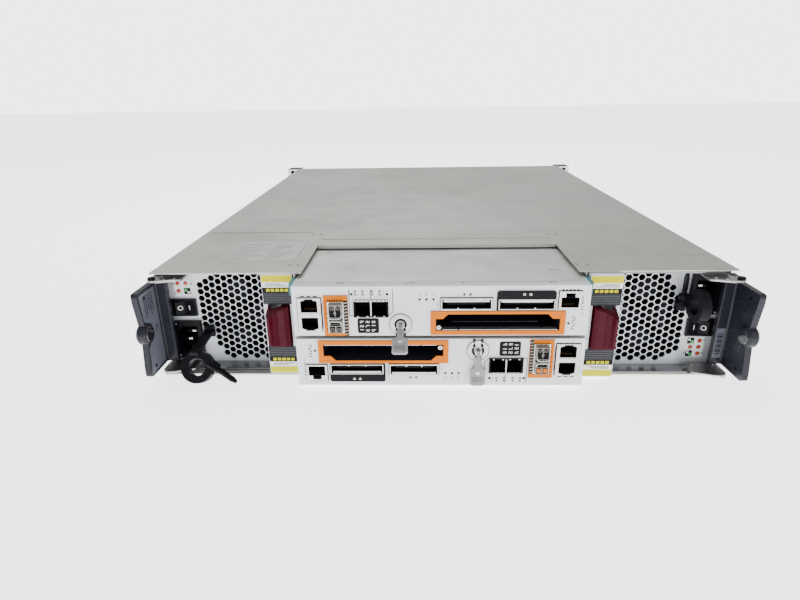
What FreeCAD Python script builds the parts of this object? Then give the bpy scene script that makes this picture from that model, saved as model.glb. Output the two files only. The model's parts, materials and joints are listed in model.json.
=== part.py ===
"""Two-unit rack disk shelf with twenty-four drive bays.

The shelf stands on its base with the connector side at -Y and the drive side at +Y, X to the
right as seen from the connector side.  The left power module and the upper controller are
modelled upright; the right module and the lower controller are the same assemblies turned half
a turn about the Y direction, which is how the real shelf takes them.
"""
import FreeCAD, Part
import math
import os
import re

import Sketcher

from FreeCAD import Placement, Rotation, Vector

doc = FreeCAD.newDocument("DiskShelf")
sheet = doc.addObject("Spreadsheet::Sheet", "Sizes")

SIZES = {
    # chassis
    "body_width": 443.0,
    "body_height": 87.9,
    "body_depth": 576.8,
    "wall_gauge": 1.2,
    "wall_setback": 15.0,
    "cover_gauge": 1.0,
    "emboss": 0.6,
    "notch_lap": 3.6,
    "notch_depth": 75.0,
    "notch_lip": 1.6,
    "rib_width": 3.0,
    "rib_rear": 21.0,
    "rib_left": 49.0,
    "rib_right": 36.0,
    "rib_edge": 6.5,
    "rib_right_run": 36.0,
    # rack ears
    "ear_flange": 19.8,
    "ear_gauge": 2.0,
    "ear_leg": 36.0,
    "rack_hole_out": 11.05,
    "rack_hole_rise": 76.2,
    "rack_hole_radius": 3.4,
    "ear_cover_reach": 25.0,
    "ear_cover_wall": 1.6,
    "ear_cover_lap": 2.0,
    "ear_cover_round": 4.0,
    # drive side
    "bay_count": 24,
    "bay_margin": 5.5,
    "bay_rib": 1.2,
    "bay_rib_rise": 2.0,
    "cage_plate": 2.0,
    "cage_depth": 205.0,
    "carrier_play": 0.35,
    "carrier_count": 4,
    "carrier_depth": 196.0,
    "bezel_depth": 14.0,
    "bezel_reach": 20.0,
    "bezel_rim": 1.4,
    "lever_gauge": 4.0,
    "lever_height": 52.0,
    "lever_foot": 14.0,
    "lever_hinge_rise": 3.0,
    "lever_proud": 2.5,
    "lever_clear": 1.2,
    "lever_play": 0.3,
    "hinge_radius": 1.5,
    "hinge_play": 0.05,
    "drive_width": 14.8,
    "drive_depth": 100.5,
    "drive_height": 69.9,
    "rail_rise": 3.0,
    "tray_stop": 2.0,
    "grip_depth": 6.0,
    "grip_low": 24.0,
    "grip_top": 46.0,
    "grip_rim": 3.0,
    # inner walls and midplane
    "board_gauge": 2.4,
    "board_gap": 24.8,
    "board_rim": 1.0,
    "window_width": 76.0,
    "window_pitch": 103.0,
    "window_height": 14.0,
    "window_low": 14.0,
    "window_high": 60.0,
    "node_side_gap": 1.3,
    "node_wall_gauge": 1.2,
    "shelf_gauge": 1.2,
    "shelf_place": 42.6,
    "shelf_front": 6.0,
    # power modules
    "pcm_wall_gap": 1.2,
    "pcm_side_gap": 0.9,
    "pcm_height": 84.3,
    "pcm_back_gap": 6.2,
    "pcm_recess": 20.0,
    "pcm_sheet": 1.0,
    "pcm_pulled": 6.0,
    "panel_gauge": 1.2,
    "latch_width": 24.0,
    "latch_wall": 1.5,
    "latch_hole_width": 17.4,
    "latch_hole_height": 43.0,
    "handle_width": 16.0,
    "handle_height": 34.0,
    "handle_reach": 13.5,
    "handle_pin_in": 7.0,
    "handle_pin_y": 4.8,
    "handle_knuckle": 3.2,
    "handle_neck": 1.0,
    "handle_lift": 2.4,
    "handle_bevel": 6.0,
    "pin_radius": 1.2,
    "pin_play": 0.05,
    # lugs and corner levers
    "lug_rise": 38.85,
    "lug_gauge": 1.4,
    "lug_root": 22.4,
    "lug_shoulder": 2.2,
    "lug_reach": 5.9,
    "lug_run": 16.0,
    "lug_out": 1.0,
    "lug_back": 13.0,
    "sheet_front": 6.5,
    "wing_gauge": 4.8,
    "wing_gap": 0.5,
    "wing_half": 34.3,
    "wing_tip_y": 23.2,
    "wing_pinch": 4.0,
    "wing_pinch_half": 8.6,
    "wing_round": 3.0,
    "wing_web_y": 7.0,
    "wing_web": 5.0,
    "wing_web_width": 8.7,
    "wing_boss": 8.2,
    "wing_boss_y": 16.0,
    "wing_boss_proud": 1.6,
    "wing_pivot_in": 2.4,
    "wing_pivot_y": 9.5,
    # honeycomb vent
    "hex_across": 5.0,
    "hex_web": 0.75,
    "hex_columns": 11,
    "vent_in": 6.25,
    "vent_low": 5.8,
    "vent_top": 4.6,
    "vent_low_run": 15.0,
    "vent_low_rise": 22.5,
    "vent_top_run": 15.0,
    "vent_top_rise": 8.6,
    # power inlet and switch
    "inlet_width": 22.0,
    "inlet_height": 32.2,
    "inlet_low": 7.8,
    "inlet_out": 1.6,
    "inlet_flange": 4.0,
    "inlet_depth": 24.0,
    "frame_lap": 1.0,
    "socket_width": 16.4,
    "socket_height": 24.4,
    "socket_depth": 17.0,
    "socket_corner": 4.6,
    "blade_gauge": 2.0,
    "blade_width": 4.0,
    "blade_pitch": 7.0,
    "blade_set": 2.0,
    "blade_recess": 3.0,
    "switch_width": 20.5,
    "switch_height": 14.6,
    "switch_low": 44.5,
    "switch_rim": 1.7,
    "switch_lip": 2.4,
    "switch_depth": 14.0,
    "rocker_pivot": 5.0,
    "rocker_back": 4.0,
    "rocker_crown": 0.9,
    "rocker_dip": 1.2,
    "rocker_play": 0.35,
    "rocker_tilt": 7.0,
    "rocker_lean": 1.0,
    # fans
    "fan_size": 40.0,
    "fan_depth": 22.0,
    "fan_bore": 18.8,
    "fan_hub": 9.5,
    "fan_hub_depth": 17.0,
    "fan_tip": 17.6,
    "fan_blades": 7,
    "fan_blade_gauge": 1.0,
    "fan_rake": 24.0,
    "fan_strut": 3.0,
    "fan_strut_gauge": 2.0,
    "fan_lead": 2.0,
    "fan_gap": 4.0,
    "fan_out": 51.4,
    "fan_shaft": 1.5,
    # cord strap
    "strap_in": 31.6,
    "strap_height": 28.0,
    "strap_foot": 8.0,
    "strap_foot_depth": 5.0,
    "strap_gauge": 3.0,
    "strap_width": 7.0,
    "ring_radius": 12.5,
    "ring_hole": 6.8,
    "ring_tilt": 62.0,
    "buckle_size": 8.0,
    "tail_length": 22.0,
    "tail_width": 4.6,
    "tail_gauge": 2.0,
    "tail_point": 4.0,
    "hang_in": 2.3,
    "hang_reach": 20.0,
    "hang_rise": 17.5,
    "edge_out": 4.2,
    "edge_reach": 2.0,
    "edge_rise": 25.5,
    # controllers
    "node_width": 215.8,
    "node_height": 38.9,
    "node_face": 21.4,
    "node_gap": 0.8,
    "node_sheet": 1.0,
    "node_back_gap": 29.0,
    "dish_x": 28.7,
    "dish_rise": 9.3,
    "dish_radius": 8.3,
    "dish_proud": 0.8,
    "guide_length": 12.0,
    "guide_wall": 2.0,
    "rod_radius": 2.5,
    "rod_play": 0.08,
    "rod_reach": 5.0,
    "rod_length": 62.0,
    "rod_collar": 4.0,
    "rod_eye": 1.3,
    "rod_slot": 2.8,
    "eye_radius": 0.6,
    "paddle_width": 11.2,
    "paddle_drop": 27.6,
    "paddle_height": 13.8,
    "paddle_gauge": 2.2,
    "paddle_neck": 5.0,
    "paddle_lug": 1.1,
    "paddle_soft": 1.5,
    "paddle_play": 0.3,
    "paddle_swing": 70.0,
    # ports of a controller: left and right X, then low and high above its underside
    "twin_jack_left": -104.2,
    "twin_jack_right": -86.9,
    "twin_jack_low": 4.0,
    "twin_jack_top": 30.2,
    "optical_left": -82.0,
    "optical_right": -70.0,
    "optical_low": 3.4,
    "optical_top": 27.8,
    "sfp_left": -62.9,
    "sfp_right": -37.4,
    "sfp_low": 15.3,
    "sfp_top": 28.6,
    "sas_plain_left": 0.5,
    "sas_plain_right": 37.9,
    "sas_plain_low": 20.6,
    "sas_plain_top": 29.8,
    "sas_framed_left": 41.0,
    "sas_framed_right": 83.0,
    "sas_framed_low": 20.4,
    "sas_framed_top": 35.2,
    "console_left": 85.3,
    "console_right": 101.2,
    "console_low": 21.1,
    "console_top": 34.8,
    "card_left": -3.7,
    "card_right": 88.1,
    "card_low": 3.6,
    "card_top": 18.2,
    "jack_depth": 18.0,
    "cage_length": 22.0,
    "port_back": 2.0,
    "jack_proud": 1.2,
    "optical_proud": 2.6,
    "sfp_proud": 1.6,
    "sas_proud": 1.4,
    "framed_proud": 0.9,
    "jack_rim": 2.5,
    "jack_split": 15.2,
    "jack_lip": 1.6,
    "key_rim": 5.5,
    "key_split": 20.0,
    "key_lip": 0.6,
    "console_rim": 1.6,
    "console_lip": 1.2,
    "console_head": 4.6,
    "console_key_head": 1.4,
    "console_step": 3.0,
    "cage_rim": 1.0,
    "optical_split": 13.0,
    "sfp_split": 13.2,
    "framed_head": 7.0,
    "collar_width": 3.0,
    "collar_proud": 0.6,
    "bezel_border": 3.0,
    "card_bezel_proud": 1.2,
    "card_bezel_low": 1.0,
    "card_bezel_top": 1.4,
    "card_wall": 0.8,
    "card_depth": 30.0,
    "main_board_front": 14.0,
    "main_board_gauge": 1.6,
    "sink_left": 60.0,
    "sink_right": 10.0,
    "sink_front": 90.0,
    "sink_depth": 60.0,
    "sink_height": 24.4,
    "memory_right": 20.0,
    "memory_pitch": 9.0,
    "memory_gauge": 3.0,
    "memory_front": 80.0,
    "memory_depth": 120.0,
    "memory_height": 28.4,
    "plug_half": 70.0,
    "plug_depth": 12.0,
    "plug_height": 18.4,
}

# Places that follow from the sizes.
DERIVED = {
    "bay_pitch": "(body_width - 2 * bay_margin) / bay_count",
    "board_place": "body_depth - cage_depth - board_gap",
    "node_wall_place": "node_width / 2 + node_side_gap",
    "node_depth": "board_place - node_back_gap",
    "pcm_inner": "node_wall_place + node_wall_gauge + pcm_wall_gap",
    "pcm_outer": "body_width / 2 - wall_gauge - pcm_side_gap",
    "pcm_depth": "board_place - pcm_back_gap",
    "fan_middle": "pcm_inner + fan_out",
    "strap_place": "pcm_outer - strap_in",
    "notch_half": "node_width / 2 - notch_lap",
    "wing_face": "body_width / 2 + wing_gap",
}

for row, (name, value) in enumerate({**SIZES, **DERIVED}.items(), start=1):
    sheet.set(f"A{row}", name)
    sheet.set(f"B{row}", f"={value}" if name in DERIVED else repr(value))
    sheet.setAlias(f"B{row}", name)
doc.recompute()

# Places that several pieces share, as formulas of the sheet's cells.
BAY_TOP = "(body_height - emboss - cover_gauge)"
BAY_MIDDLE = "((wall_gauge + body_height - emboss - cover_gauge) / 2)"
PCM_LOW = f"({BAY_MIDDLE} - pcm_height / 2)"
PCM_TOP = f"({BAY_MIDDLE} + pcm_height / 2)"
PANEL_BACK = "(pcm_recess + panel_gauge)"
NODE_MIDDLE = "(shelf_place + shelf_gauge / 2)"
NODE_LOW = "(shelf_place + shelf_gauge + node_gap)"
NODE_TOP = "(shelf_place + shelf_gauge + node_gap + node_height)"
CAGE_START = "(body_depth - cage_depth)"
BEZEL_FACE = "(body_depth + bezel_reach)"
WING_PIVOT = "(wing_face - wing_pivot_in)"

NODES = {}


def cell(match):
    word = match[0]
    return "Sizes." + word if word in SIZES or word in DERIVED else word


def formula(text):
    """The text with every size name bound to its cell."""
    return re.sub(r"[a-z_]+", cell, str(text))


def number(text):
    """The value of a formula, for pieces whose shape is set directly."""
    values = re.sub(r"[a-z_]+", lambda m: f"({float(sheet.get(m[0]))!r})", str(text))
    return FreeCAD.Units.Quantity(values).Value


def around(middle, half):
    """The (low, high) pair that lies half to each side of the middle."""
    return f"{middle} - {half}", f"{middle} + {half}"


def bind(item, prop, text):
    item.setExpression(prop, formula(text))


def unique(name):
    return name if doc.getObject(name) is None else doc.getUniqueObjectName(name)


def box(x, y, z, name="box"):
    """A box between three (low, high) pairs of formulas."""
    item = doc.addObject("Part::Box", unique(name))
    for prop, (low, high) in zip(("Length", "Width", "Height"), (x, y, z)):
        bind(item, prop, f"({high}) - ({low})")
    for axis, (low, _) in zip("xyz", (x, y, z)):
        bind(item, f"Placement.Base.{axis}", low)
    return item


TURNS = {
    "x": Rotation(Vector(0, 1, 0), 90),
    "y": Rotation(Vector(1, 0, 0), -90),
    "z": Rotation(),
}


def rod(axis, start, radius, length, name="rod"):
    """A cylinder from the point start along an axis."""
    item = doc.addObject("Part::Cylinder", unique(name))
    item.Placement = Placement(Vector(), TURNS[axis])
    bind(item, "Radius", radius)
    bind(item, "Height", length)
    for key, text in zip("xyz", start):
        bind(item, f"Placement.Base.{key}", text)
    return item


PLANES = {
    "xy": (Rotation(), "z", Vector(0, 0, 1)),
    "xz": (Rotation(Vector(1, 0, 0), 90), "y", Vector(0, 1, 0)),
    "yz": (Rotation(Vector(1, 1, 1), 120), "x", Vector(1, 0, 0)),
}


def sketch(plane, at, outlines, name="outline"):
    """Closed outlines of formula points on a plane, each point dimensioned from the origin."""
    turn, normal, _ = PLANES[plane]
    item = doc.addObject("Sketcher::SketchObject", unique(name))
    item.Placement = Placement(Vector(), turn)
    bind(item, f"Placement.Base.{normal}", at)
    for outline in outlines:
        count = len(outline)
        first = item.GeometryCount
        spots = [Vector(number(u), number(v), 0) for u, v in outline]
        for i in range(count):
            item.addGeometry(Part.LineSegment(spots[i], spots[(i + 1) % count]))
        for i in range(count):
            item.addConstraint(Sketcher.Constraint("Coincident", first + i, 2, first + (i + 1) % count, 1))
        for i, (u, v) in enumerate(outline):
            for kind, text, value in (("DistanceX", u, spots[i].x), ("DistanceY", v, spots[i].y)):
                item.addConstraint(Sketcher.Constraint(kind, -1, 1, first + i, 1, value))
                bind(item, f"Constraints[{item.ConstraintCount - 1}]", text)
    return item


def extrude(plane, at, length, *outlines, name="plate"):
    """The outlines, inner ones as holes, extruded along the plane's axis from the place at."""
    item = doc.addObject("Part::Extrusion", unique(name))
    item.Base = sketch(plane, at, outlines)
    item.DirMode = "Custom"
    item.Dir = PLANES[plane][2]
    item.Solid = True
    item.FaceMakerClass = "Part::FaceMakerBullseye"
    bind(item, "LengthFwd", length)
    return item


def rounded_face(corners, plane="xy"):
    """A flat face through (u, v, radius) corners, each rounded by its own radius."""
    count = len(corners)
    bends = []
    for i, (u, v, radius) in enumerate(corners):
        here = Vector(u, v, 0)
        before = (Vector(*corners[i - 1][:2], 0) - here).normalize()
        after = (Vector(*corners[(i + 1) % count][:2], 0) - here).normalize()
        half = before.getAngle(after) / 2
        reach = radius / math.tan(half)
        middle = here + (before + after).normalize() * (radius / math.sin(half) - radius)
        bends.append((here + before * reach, middle, here + after * reach))
    pieces = []
    for i, (first, middle, last) in enumerate(bends):
        if corners[i][2]:
            pieces.append(Part.Arc(first, middle, last).toShape())
        pieces.append(Part.makeLine(last, bends[(i + 1) % count][0]))
    face = Part.Face(Part.Wire(pieces))
    face.Placement = Placement(Vector(), PLANES[plane][0])
    return face


def join(parts, name="join"):
    if len(parts) == 1:
        return parts[0]
    item = doc.addObject("Part::MultiFuse", unique(name))
    item.Shapes = list(parts)
    item.Refine = True
    return item


def cut(base, tools, name="cut"):
    item = doc.addObject("Part::Cut", unique(name))
    item.Base = base
    item.Tool = join(tools, "tools")
    item.Refine = True
    return item


def group(parts, name="set"):
    """Separate solids kept side by side in one piece."""
    item = doc.addObject("Part::Compound", unique(name))
    item.Links = list(parts)
    return item


def direct(shape, name="shape"):
    """A piece whose shape is worked out with Part's own functions."""
    item = doc.addObject("Part::Feature", unique(name))
    item.Shape = shape
    return item


def round_edges(base, radius, wanted, name="rounded"):
    """A fillet on the edges whose middle point passes the test wanted."""
    doc.recompute()
    item = doc.addObject("Part::Fillet", unique(name))
    item.Base = base
    size = number(radius)
    chosen = []
    for index, edge in enumerate(base.Shape.Edges, start=1):
        middle = edge.valueAt((edge.FirstParameter + edge.LastParameter) / 2)
        if wanted(middle, edge):
            chosen.append((index, size, size))
    item.Edges = chosen
    return item


def node(label, item, turn_about=None, pulled=None):
    """Names the finished piece; a turned one lies half a turn about Y through turn_about."""
    item.Label = label
    if turn_about:
        holder = group([item], label + "_turned")
        item.Label = label + "_upright"
        holder.Label = label
        holder.Placement = Placement(Vector(), Rotation(Vector(0, 1, 0), 180))
        bind(holder, "Placement.Base.z", f"2 * {turn_about}")
        if pulled:
            bind(holder, "Placement.Base.y", f"-({pulled})")
        item = holder
    NODES[label] = item
    return item


def left(low, high):
    """X range of a span that lies low to high outboard of the middle, on the left side."""
    return f"-({high})", f"-({low})"


def outboard(sign, low, high):
    """X range of a span that lies low to high from the middle, on the side that sign gives."""
    return (f"-({high})", f"-({low})") if sign else (low, high)


# ---------------------------------------------------------------- chassis

def chassis_base():
    """Floor and two side walls folded from one sheet; the walls stop short of the rear edge."""
    half = "body_width / 2"
    outline = [
        (f"-{half}", "0"), (half, "0"), (half, BAY_TOP), (f"{half} - wall_gauge", BAY_TOP),
        (f"{half} - wall_gauge", "wall_gauge"), (f"-{half} + wall_gauge", "wall_gauge"),
        (f"-{half} + wall_gauge", BAY_TOP), (f"-{half}", BAY_TOP),
    ]
    folded = extrude("xz", "0", "body_depth", outline)
    relief = box((f"-{half} - 1", f"{half} + 1"), ("-1", "wall_setback"), ("wall_gauge", "body_height"))
    node("chassis_base", cut(folded, [relief]))


def top_cover():
    """Cover sheet with the notch over the controllers and pressed stiffening ribs."""
    half = "body_width / 2"
    notch = "notch_half"
    outline = [
        (f"-{half}", "0"), (f"-{notch}", "0"), (f"-{notch}", "notch_depth"), (notch, "notch_depth"),
        (notch, "0"), (half, "0"), (half, "body_depth"), (f"-{half}", "body_depth"),
    ]
    plate = extrude("xy", BAY_TOP, "cover_gauge", outline)
    face = ("body_height - emboss", "body_height")
    ribs = []
    for low, high, start in (
        (f"-{notch}", notch, "notch_depth + rib_rear"),
        (f"-{half} + rib_edge", f"-{notch} - 2 * rib_edge", "notch_depth + rib_left"),
        (f"{half} - rib_edge - rib_right_run", f"{half} - rib_edge", "notch_depth - rib_right"),
    ):
        ribs.append(box((low, high), (start, f"{start} + rib_width"), face))
    lip = box((f"-{notch}", notch), ("notch_depth", "notch_depth + cover_gauge"),
              (f"{BAY_TOP} - notch_lip", BAY_TOP))
    node("top_cover", join([plate, lip] + ribs))


def rack_ears():
    """Angle brackets that carry the shelf on the rack's front posts."""
    for side, sign in (("left", "-"), ("right", "")):
        inner = "body_width / 2"
        outer = "body_width / 2 + ear_flange"
        leg = box(outboard(sign, inner, f"{inner} + ear_gauge"), ("body_depth - ear_leg", "body_depth"),
                  ("0", BAY_TOP))
        flange = box(outboard(sign, inner, outer), ("body_depth - ear_gauge", "body_depth"), ("0", BAY_TOP))
        holes = [
            rod("y", (f"{sign}(body_width / 2 + rack_hole_out)", "body_depth - 2 * ear_gauge",
                      f"{BAY_TOP} / 2 {rise} rack_hole_rise / 2"), "rack_hole_radius", "3 * ear_gauge")
            for rise in "-+"
        ]
        node(f"rack_ear_{side}", cut(join([leg, flange]), holes))


def ear_covers():
    """Moulded caps over the rack ears on the drive side, open at the back."""
    for side, sign in (("left", "-"), ("right", "")):
        inner = "body_width / 2 - ear_cover_lap"
        outer = "body_width / 2 + ear_flange"
        reach = "body_depth + ear_cover_reach"
        shell = box(outboard(sign, inner, outer), ("body_depth", reach), ("0", BAY_TOP))
        rounded = round_edges(shell, "ear_cover_round", lambda p, e: p.y > number("body_depth + 1")
                              and abs(p.x) > number("body_width / 2")
                              and e.Length > number("body_height / 2"))
        wall = "ear_cover_wall"
        hollow = box(outboard(sign, f"{inner} + {wall}", f"{outer} - {wall}"),
                     ("body_depth - 1", f"{reach} - {wall}"), (wall, f"{BAY_TOP} - {wall}"))
        node(f"ear_cover_{side}", cut(rounded, [hollow]))


def drive_cage():
    """Floor plate with ribs that keep each carrier upright in its bay, and the roof plate."""
    half = "(bay_count * bay_pitch / 2 + bay_rib)"
    y = (CAGE_START, "body_depth")
    floor_top = "wall_gauge + cage_plate"
    floor = [box((f"-{half}", half), y, ("wall_gauge", floor_top))]
    for i in range(SIZES["bay_count"] + 1):
        centre = f"({i} - bay_count / 2) * bay_pitch"
        floor.append(box((f"{centre} - bay_rib / 2", f"{centre} + bay_rib / 2"), y,
                         (floor_top, f"{floor_top} + bay_rib_rise")))
    roof = box((f"-{half}", half), y, (f"{BAY_TOP} - cage_plate", BAY_TOP))
    node("drive_cage", group([join(floor), roof]))


def midplane_board():
    """Circuit board that the carriers, controllers and power modules plug into."""
    half = "(body_width / 2 - wall_gauge - board_rim)"
    board = box((f"-{half}", half), ("board_place", "board_place + board_gauge"), ("wall_gauge", BAY_TOP))
    windows = []
    for i in range(4):
        centre = f"({i} - 1.5) * window_pitch"
        for low in ("window_low", "window_high"):
            windows.append(box((f"{centre} - window_width / 2", f"{centre} + window_width / 2"),
                               ("board_place - 1", "board_place + board_gauge + 1"),
                               (low, f"{low} + window_height")))
    node("midplane_board", cut(board, windows))


def inner_walls():
    """Upright walls between the controllers and the power modules, and the shelf between
    the two controllers."""
    walls = []
    for low, high in (("-node_wall_place - node_wall_gauge", "-node_wall_place"),
                      ("node_wall_place", "node_wall_place + node_wall_gauge")):
        walls.append(box((low, high), ("0", "board_place"), ("wall_gauge", BAY_TOP)))
    node("bay_walls", group(walls))
    node("node_shelf", box(("-node_wall_place", "node_wall_place"), ("shelf_front", "board_place"),
                           ("shelf_place", "shelf_place + shelf_gauge")))


# ---------------------------------------------------------------- drive carriers

def bay_centre(index):
    return f"((bay_count / 2 - {index} - 0.5) * bay_pitch)"


CARRIER_LOW = "(wall_gauge + cage_plate + carrier_play)"
CARRIER_TOP = f"({BAY_TOP} - cage_plate - carrier_play)"
CARRIER_HALF = "(bay_pitch / 2 - bay_rib / 2 - carrier_play)"


def drive_carrier(index):
    """Tray with its bezel, and the disk drive that it carries."""
    mid = bay_centre(index)
    x = around(mid, CARRIER_HALF)
    bezel_y = (f"{BEZEL_FACE} - bezel_depth", BEZEL_FACE)
    start = f"{BEZEL_FACE} - carrier_depth"
    bezel = box(x, bezel_y, (CARRIER_LOW, CARRIER_TOP))
    rails = [
        box(x, (start, bezel_y[0]), (CARRIER_LOW, f"{CARRIER_LOW} + rail_rise")),
        box(x, (start, bezel_y[0]), (f"{CARRIER_TOP} - rail_rise", CARRIER_TOP)),
    ]
    stop = box(x, (start, f"{start} + tray_stop"), (CARRIER_LOW, CARRIER_TOP))
    pocket = box(around(mid, f"({CARRIER_HALF} - bezel_rim)"),
                 (f"{BEZEL_FACE} - lever_gauge - lever_clear", f"{BEZEL_FACE} + 1"),
                 (f"{CARRIER_LOW} + lever_foot", f"{CARRIER_LOW} + lever_foot + lever_height + lever_clear"))
    tray = cut(join([bezel, stop] + rails), [pocket])
    pin = rod("x", (f"{mid} - {CARRIER_HALF} + bezel_rim", f"{BEZEL_FACE} - lever_gauge / 2",
                    f"{CARRIER_LOW} + lever_foot + lever_hinge_rise"), "hinge_radius",
              f"2 * ({CARRIER_HALF} - bezel_rim)")
    low = f"({CARRIER_LOW} + rail_rise)"
    drive = box((f"{mid} - drive_width / 2", f"{mid} + drive_width / 2"),
                (f"{bezel_y[0]} - drive_depth", bezel_y[0]), (low, f"{low} + drive_height"))
    node(f"drive_carrier_{index}", group([tray, pin, drive]))


def carrier_lever(index):
    """Latch lever hinged at the foot of the bezel."""
    mid = bay_centre(index)
    x = around(mid, f"({CARRIER_HALF} - bezel_rim - lever_play)")
    foot = f"({CARRIER_LOW} + lever_foot)"
    head = f"({foot} + lever_height)"
    axis_y = f"({BEZEL_FACE} - lever_gauge / 2)"
    outline = [
        (f"{BEZEL_FACE} - lever_gauge", f"{foot} + lever_clear"), (BEZEL_FACE, f"{foot} + lever_clear"),
        (f"{BEZEL_FACE} + lever_proud", f"{foot} + 2 * lever_gauge"),
        (f"{BEZEL_FACE} + lever_proud", f"{head} - lever_gauge"),
        (f"{BEZEL_FACE} + 2 * lever_proud", head), (f"{BEZEL_FACE} + 1", head),
        (f"{BEZEL_FACE} - lever_gauge", f"{head} - 1.5 * lever_gauge"),
    ]
    blade = extrude("yz", x[0], f"({x[1]}) - ({x[0]})", outline)
    bore = rod("x", (f"{x[0]} - 1", axis_y, f"{foot} + lever_hinge_rise"), "hinge_radius + hinge_play",
               "bay_pitch + 2")
    node(f"carrier_lever_{index}", cut(blade, [bore]))


def bay_blanks():
    """Filler bezels in the bays that hold no drive."""
    blanks = []
    for index in range(SIZES["carrier_count"], SIZES["bay_count"]):
        mid = bay_centre(index)
        x = around(mid, CARRIER_HALF)
        low, top = f"({CARRIER_LOW} - carrier_play)", f"{CARRIER_TOP} + carrier_play"
        shell = box(x, (f"{BEZEL_FACE} - 2 * bezel_depth", BEZEL_FACE), (low, top))
        grip = box(around(mid, f"({CARRIER_HALF} - grip_rim)"),
                   (f"{BEZEL_FACE} - grip_depth", f"{BEZEL_FACE} + 1"),
                   (f"{low} + grip_low", f"{low} + grip_top"))
        blanks.append(cut(shell, [grip]))
    node("bay_blanks", group(blanks))


# ---------------------------------------------------------------- power modules

def pcm_case(label, place):
    """Folded case with a joggled, rounded lug at top and bottom, which hold the lever's pin."""
    body = box(left("pcm_inner", "pcm_outer"), (PANEL_BACK, "pcm_depth"), (PCM_LOW, PCM_TOP))
    inside = box(left("pcm_inner + pcm_sheet", "pcm_outer - pcm_sheet"),
                 (f"{PANEL_BACK} - 1", "pcm_depth - pcm_sheet"),
                 (f"{PCM_LOW} + pcm_sheet", f"{PCM_TOP} - pcm_sheet"))
    parts = [cut(body, [inside])]
    latch_edge, root = "(pcm_inner + latch_width)", "(pcm_outer - lug_root)"
    parts.append(box(left("pcm_outer - pcm_sheet", "pcm_outer"), ("lug_back", f"{PANEL_BACK} + 1"),
                     (PCM_LOW, PCM_TOP)))
    for sheet_z, riser_z in (
        ((PCM_LOW, f"{PCM_LOW} + pcm_sheet"), (PCM_LOW, f"{BAY_MIDDLE} - lug_rise + lug_gauge")),
        ((f"{PCM_TOP} - pcm_sheet", PCM_TOP), (f"{BAY_MIDDLE} + lug_rise - lug_gauge", PCM_TOP)),
    ):
        parts.append(box(left(latch_edge, root), ("sheet_front", f"{PANEL_BACK} + 1"), sheet_z))
        parts.append(box(left(root, "pcm_outer"), ("lug_back", f"{PANEL_BACK} + 1"), sheet_z))
        parts.append(box(left(root, "pcm_outer"), ("lug_back", "lug_back + pcm_sheet"), riser_z))
    tip = number("body_width / 2 + lug_out")
    back = number("lug_back + pcm_sheet")
    start = number(root)
    lug = rounded_face([
        (-start, back, 0), (-tip, back, 0), (-tip, -number("lug_reach"), number("lug_reach")),
        (-start - number("lug_run"), -number("lug_reach"), 2 * number("lug_reach")),
        (-start, -number("lug_shoulder - lug_gauge"), number("lug_gauge")),
    ]).extrude(Vector(0, 0, number("lug_gauge")))
    for low in ("-lug_rise", "lug_rise - lug_gauge"):
        level = lug.copy()
        level.translate(Vector(0, 0, number(f"{BAY_MIDDLE} + {low}")))
        parts.append(direct(level, "lug"))
    pin = rod("z", (f"-({WING_PIVOT})", "wing_pivot_y", f"{BAY_MIDDLE} - lug_rise + lug_gauge"),
              "pin_radius", "2 * (lug_rise - lug_gauge)")
    node(label, group([join(parts), pin]), *place)


def hexagon(u, v, across):
    """Hexagon with corners to the left and right, round the point (u, v)."""
    corner = across / math.sqrt(3)
    return Part.makePolygon([
        Vector(u + corner * math.cos(math.radians(60 * k)), 0, v + corner * math.sin(math.radians(60 * k)))
        for k in range(7)
    ])


def pcm_rear_panel(label, place):
    """Recessed sheet with the honeycomb vent and the openings for inlet and switch."""
    inner, outer = number("pcm_inner + pcm_sheet"), number("pcm_outer - pcm_sheet")
    low, top = number(f"{PCM_LOW} + pcm_sheet"), number(f"{PCM_TOP} - pcm_sheet")
    wires = [Part.makePolygon([Vector(-x, 0, z) for x, z in (
        (inner, low), (outer, low), (outer, top), (inner, top), (inner, low))])]
    across = SIZES["hex_across"]
    rise = across + SIZES["hex_web"]
    step = rise * math.sin(math.radians(60))
    first = number("pcm_inner + latch_width + vent_in")
    vent_low, vent_top = number(f"{PCM_LOW} + vent_low"), number(f"{PCM_TOP} - vent_top")
    span = (SIZES["hex_columns"] - 1) * step
    rows = int((vent_top - vent_low) / rise) + 1
    for column in range(SIZES["hex_columns"]):
        from_end = span - column * step
        floor = vent_low + max(0.0, 1 - from_end / SIZES["vent_low_run"]) * SIZES["vent_low_rise"]
        roof = vent_top - max(0.0, 1 - from_end / SIZES["vent_top_run"]) * SIZES["vent_top_rise"]
        for row in range(rows):
            v = vent_low + (row + (column % 2) / 2) * rise
            if floor - 0.01 <= v <= roof + 0.01:
                wires.append(hexagon(-first - column * step, v, across))
    for width, down, height in (("inlet_width", "inlet_low", "inlet_height"),
                                ("switch_width", "switch_low", "switch_height")):
        near = number("pcm_outer - pcm_sheet - inlet_out - frame_lap")
        far = number(f"pcm_outer - pcm_sheet - inlet_out - {width} + frame_lap")
        bottom = number(f"{down} + frame_lap")
        head = number(f"{down} + {height} - frame_lap")
        wires.append(Part.makePolygon([Vector(-a, 0, c) for a, c in (
            (near, bottom), (far, bottom), (far, head), (near, head), (near, bottom))]))
    panel = Part.makeFace(wires, "Part::FaceMakerBullseye").extrude(Vector(0, SIZES["panel_gauge"], 0))
    panel.translate(Vector(0, SIZES["pcm_recess"], 0))
    node(label, direct(panel, "vent_panel"), *place)


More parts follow.
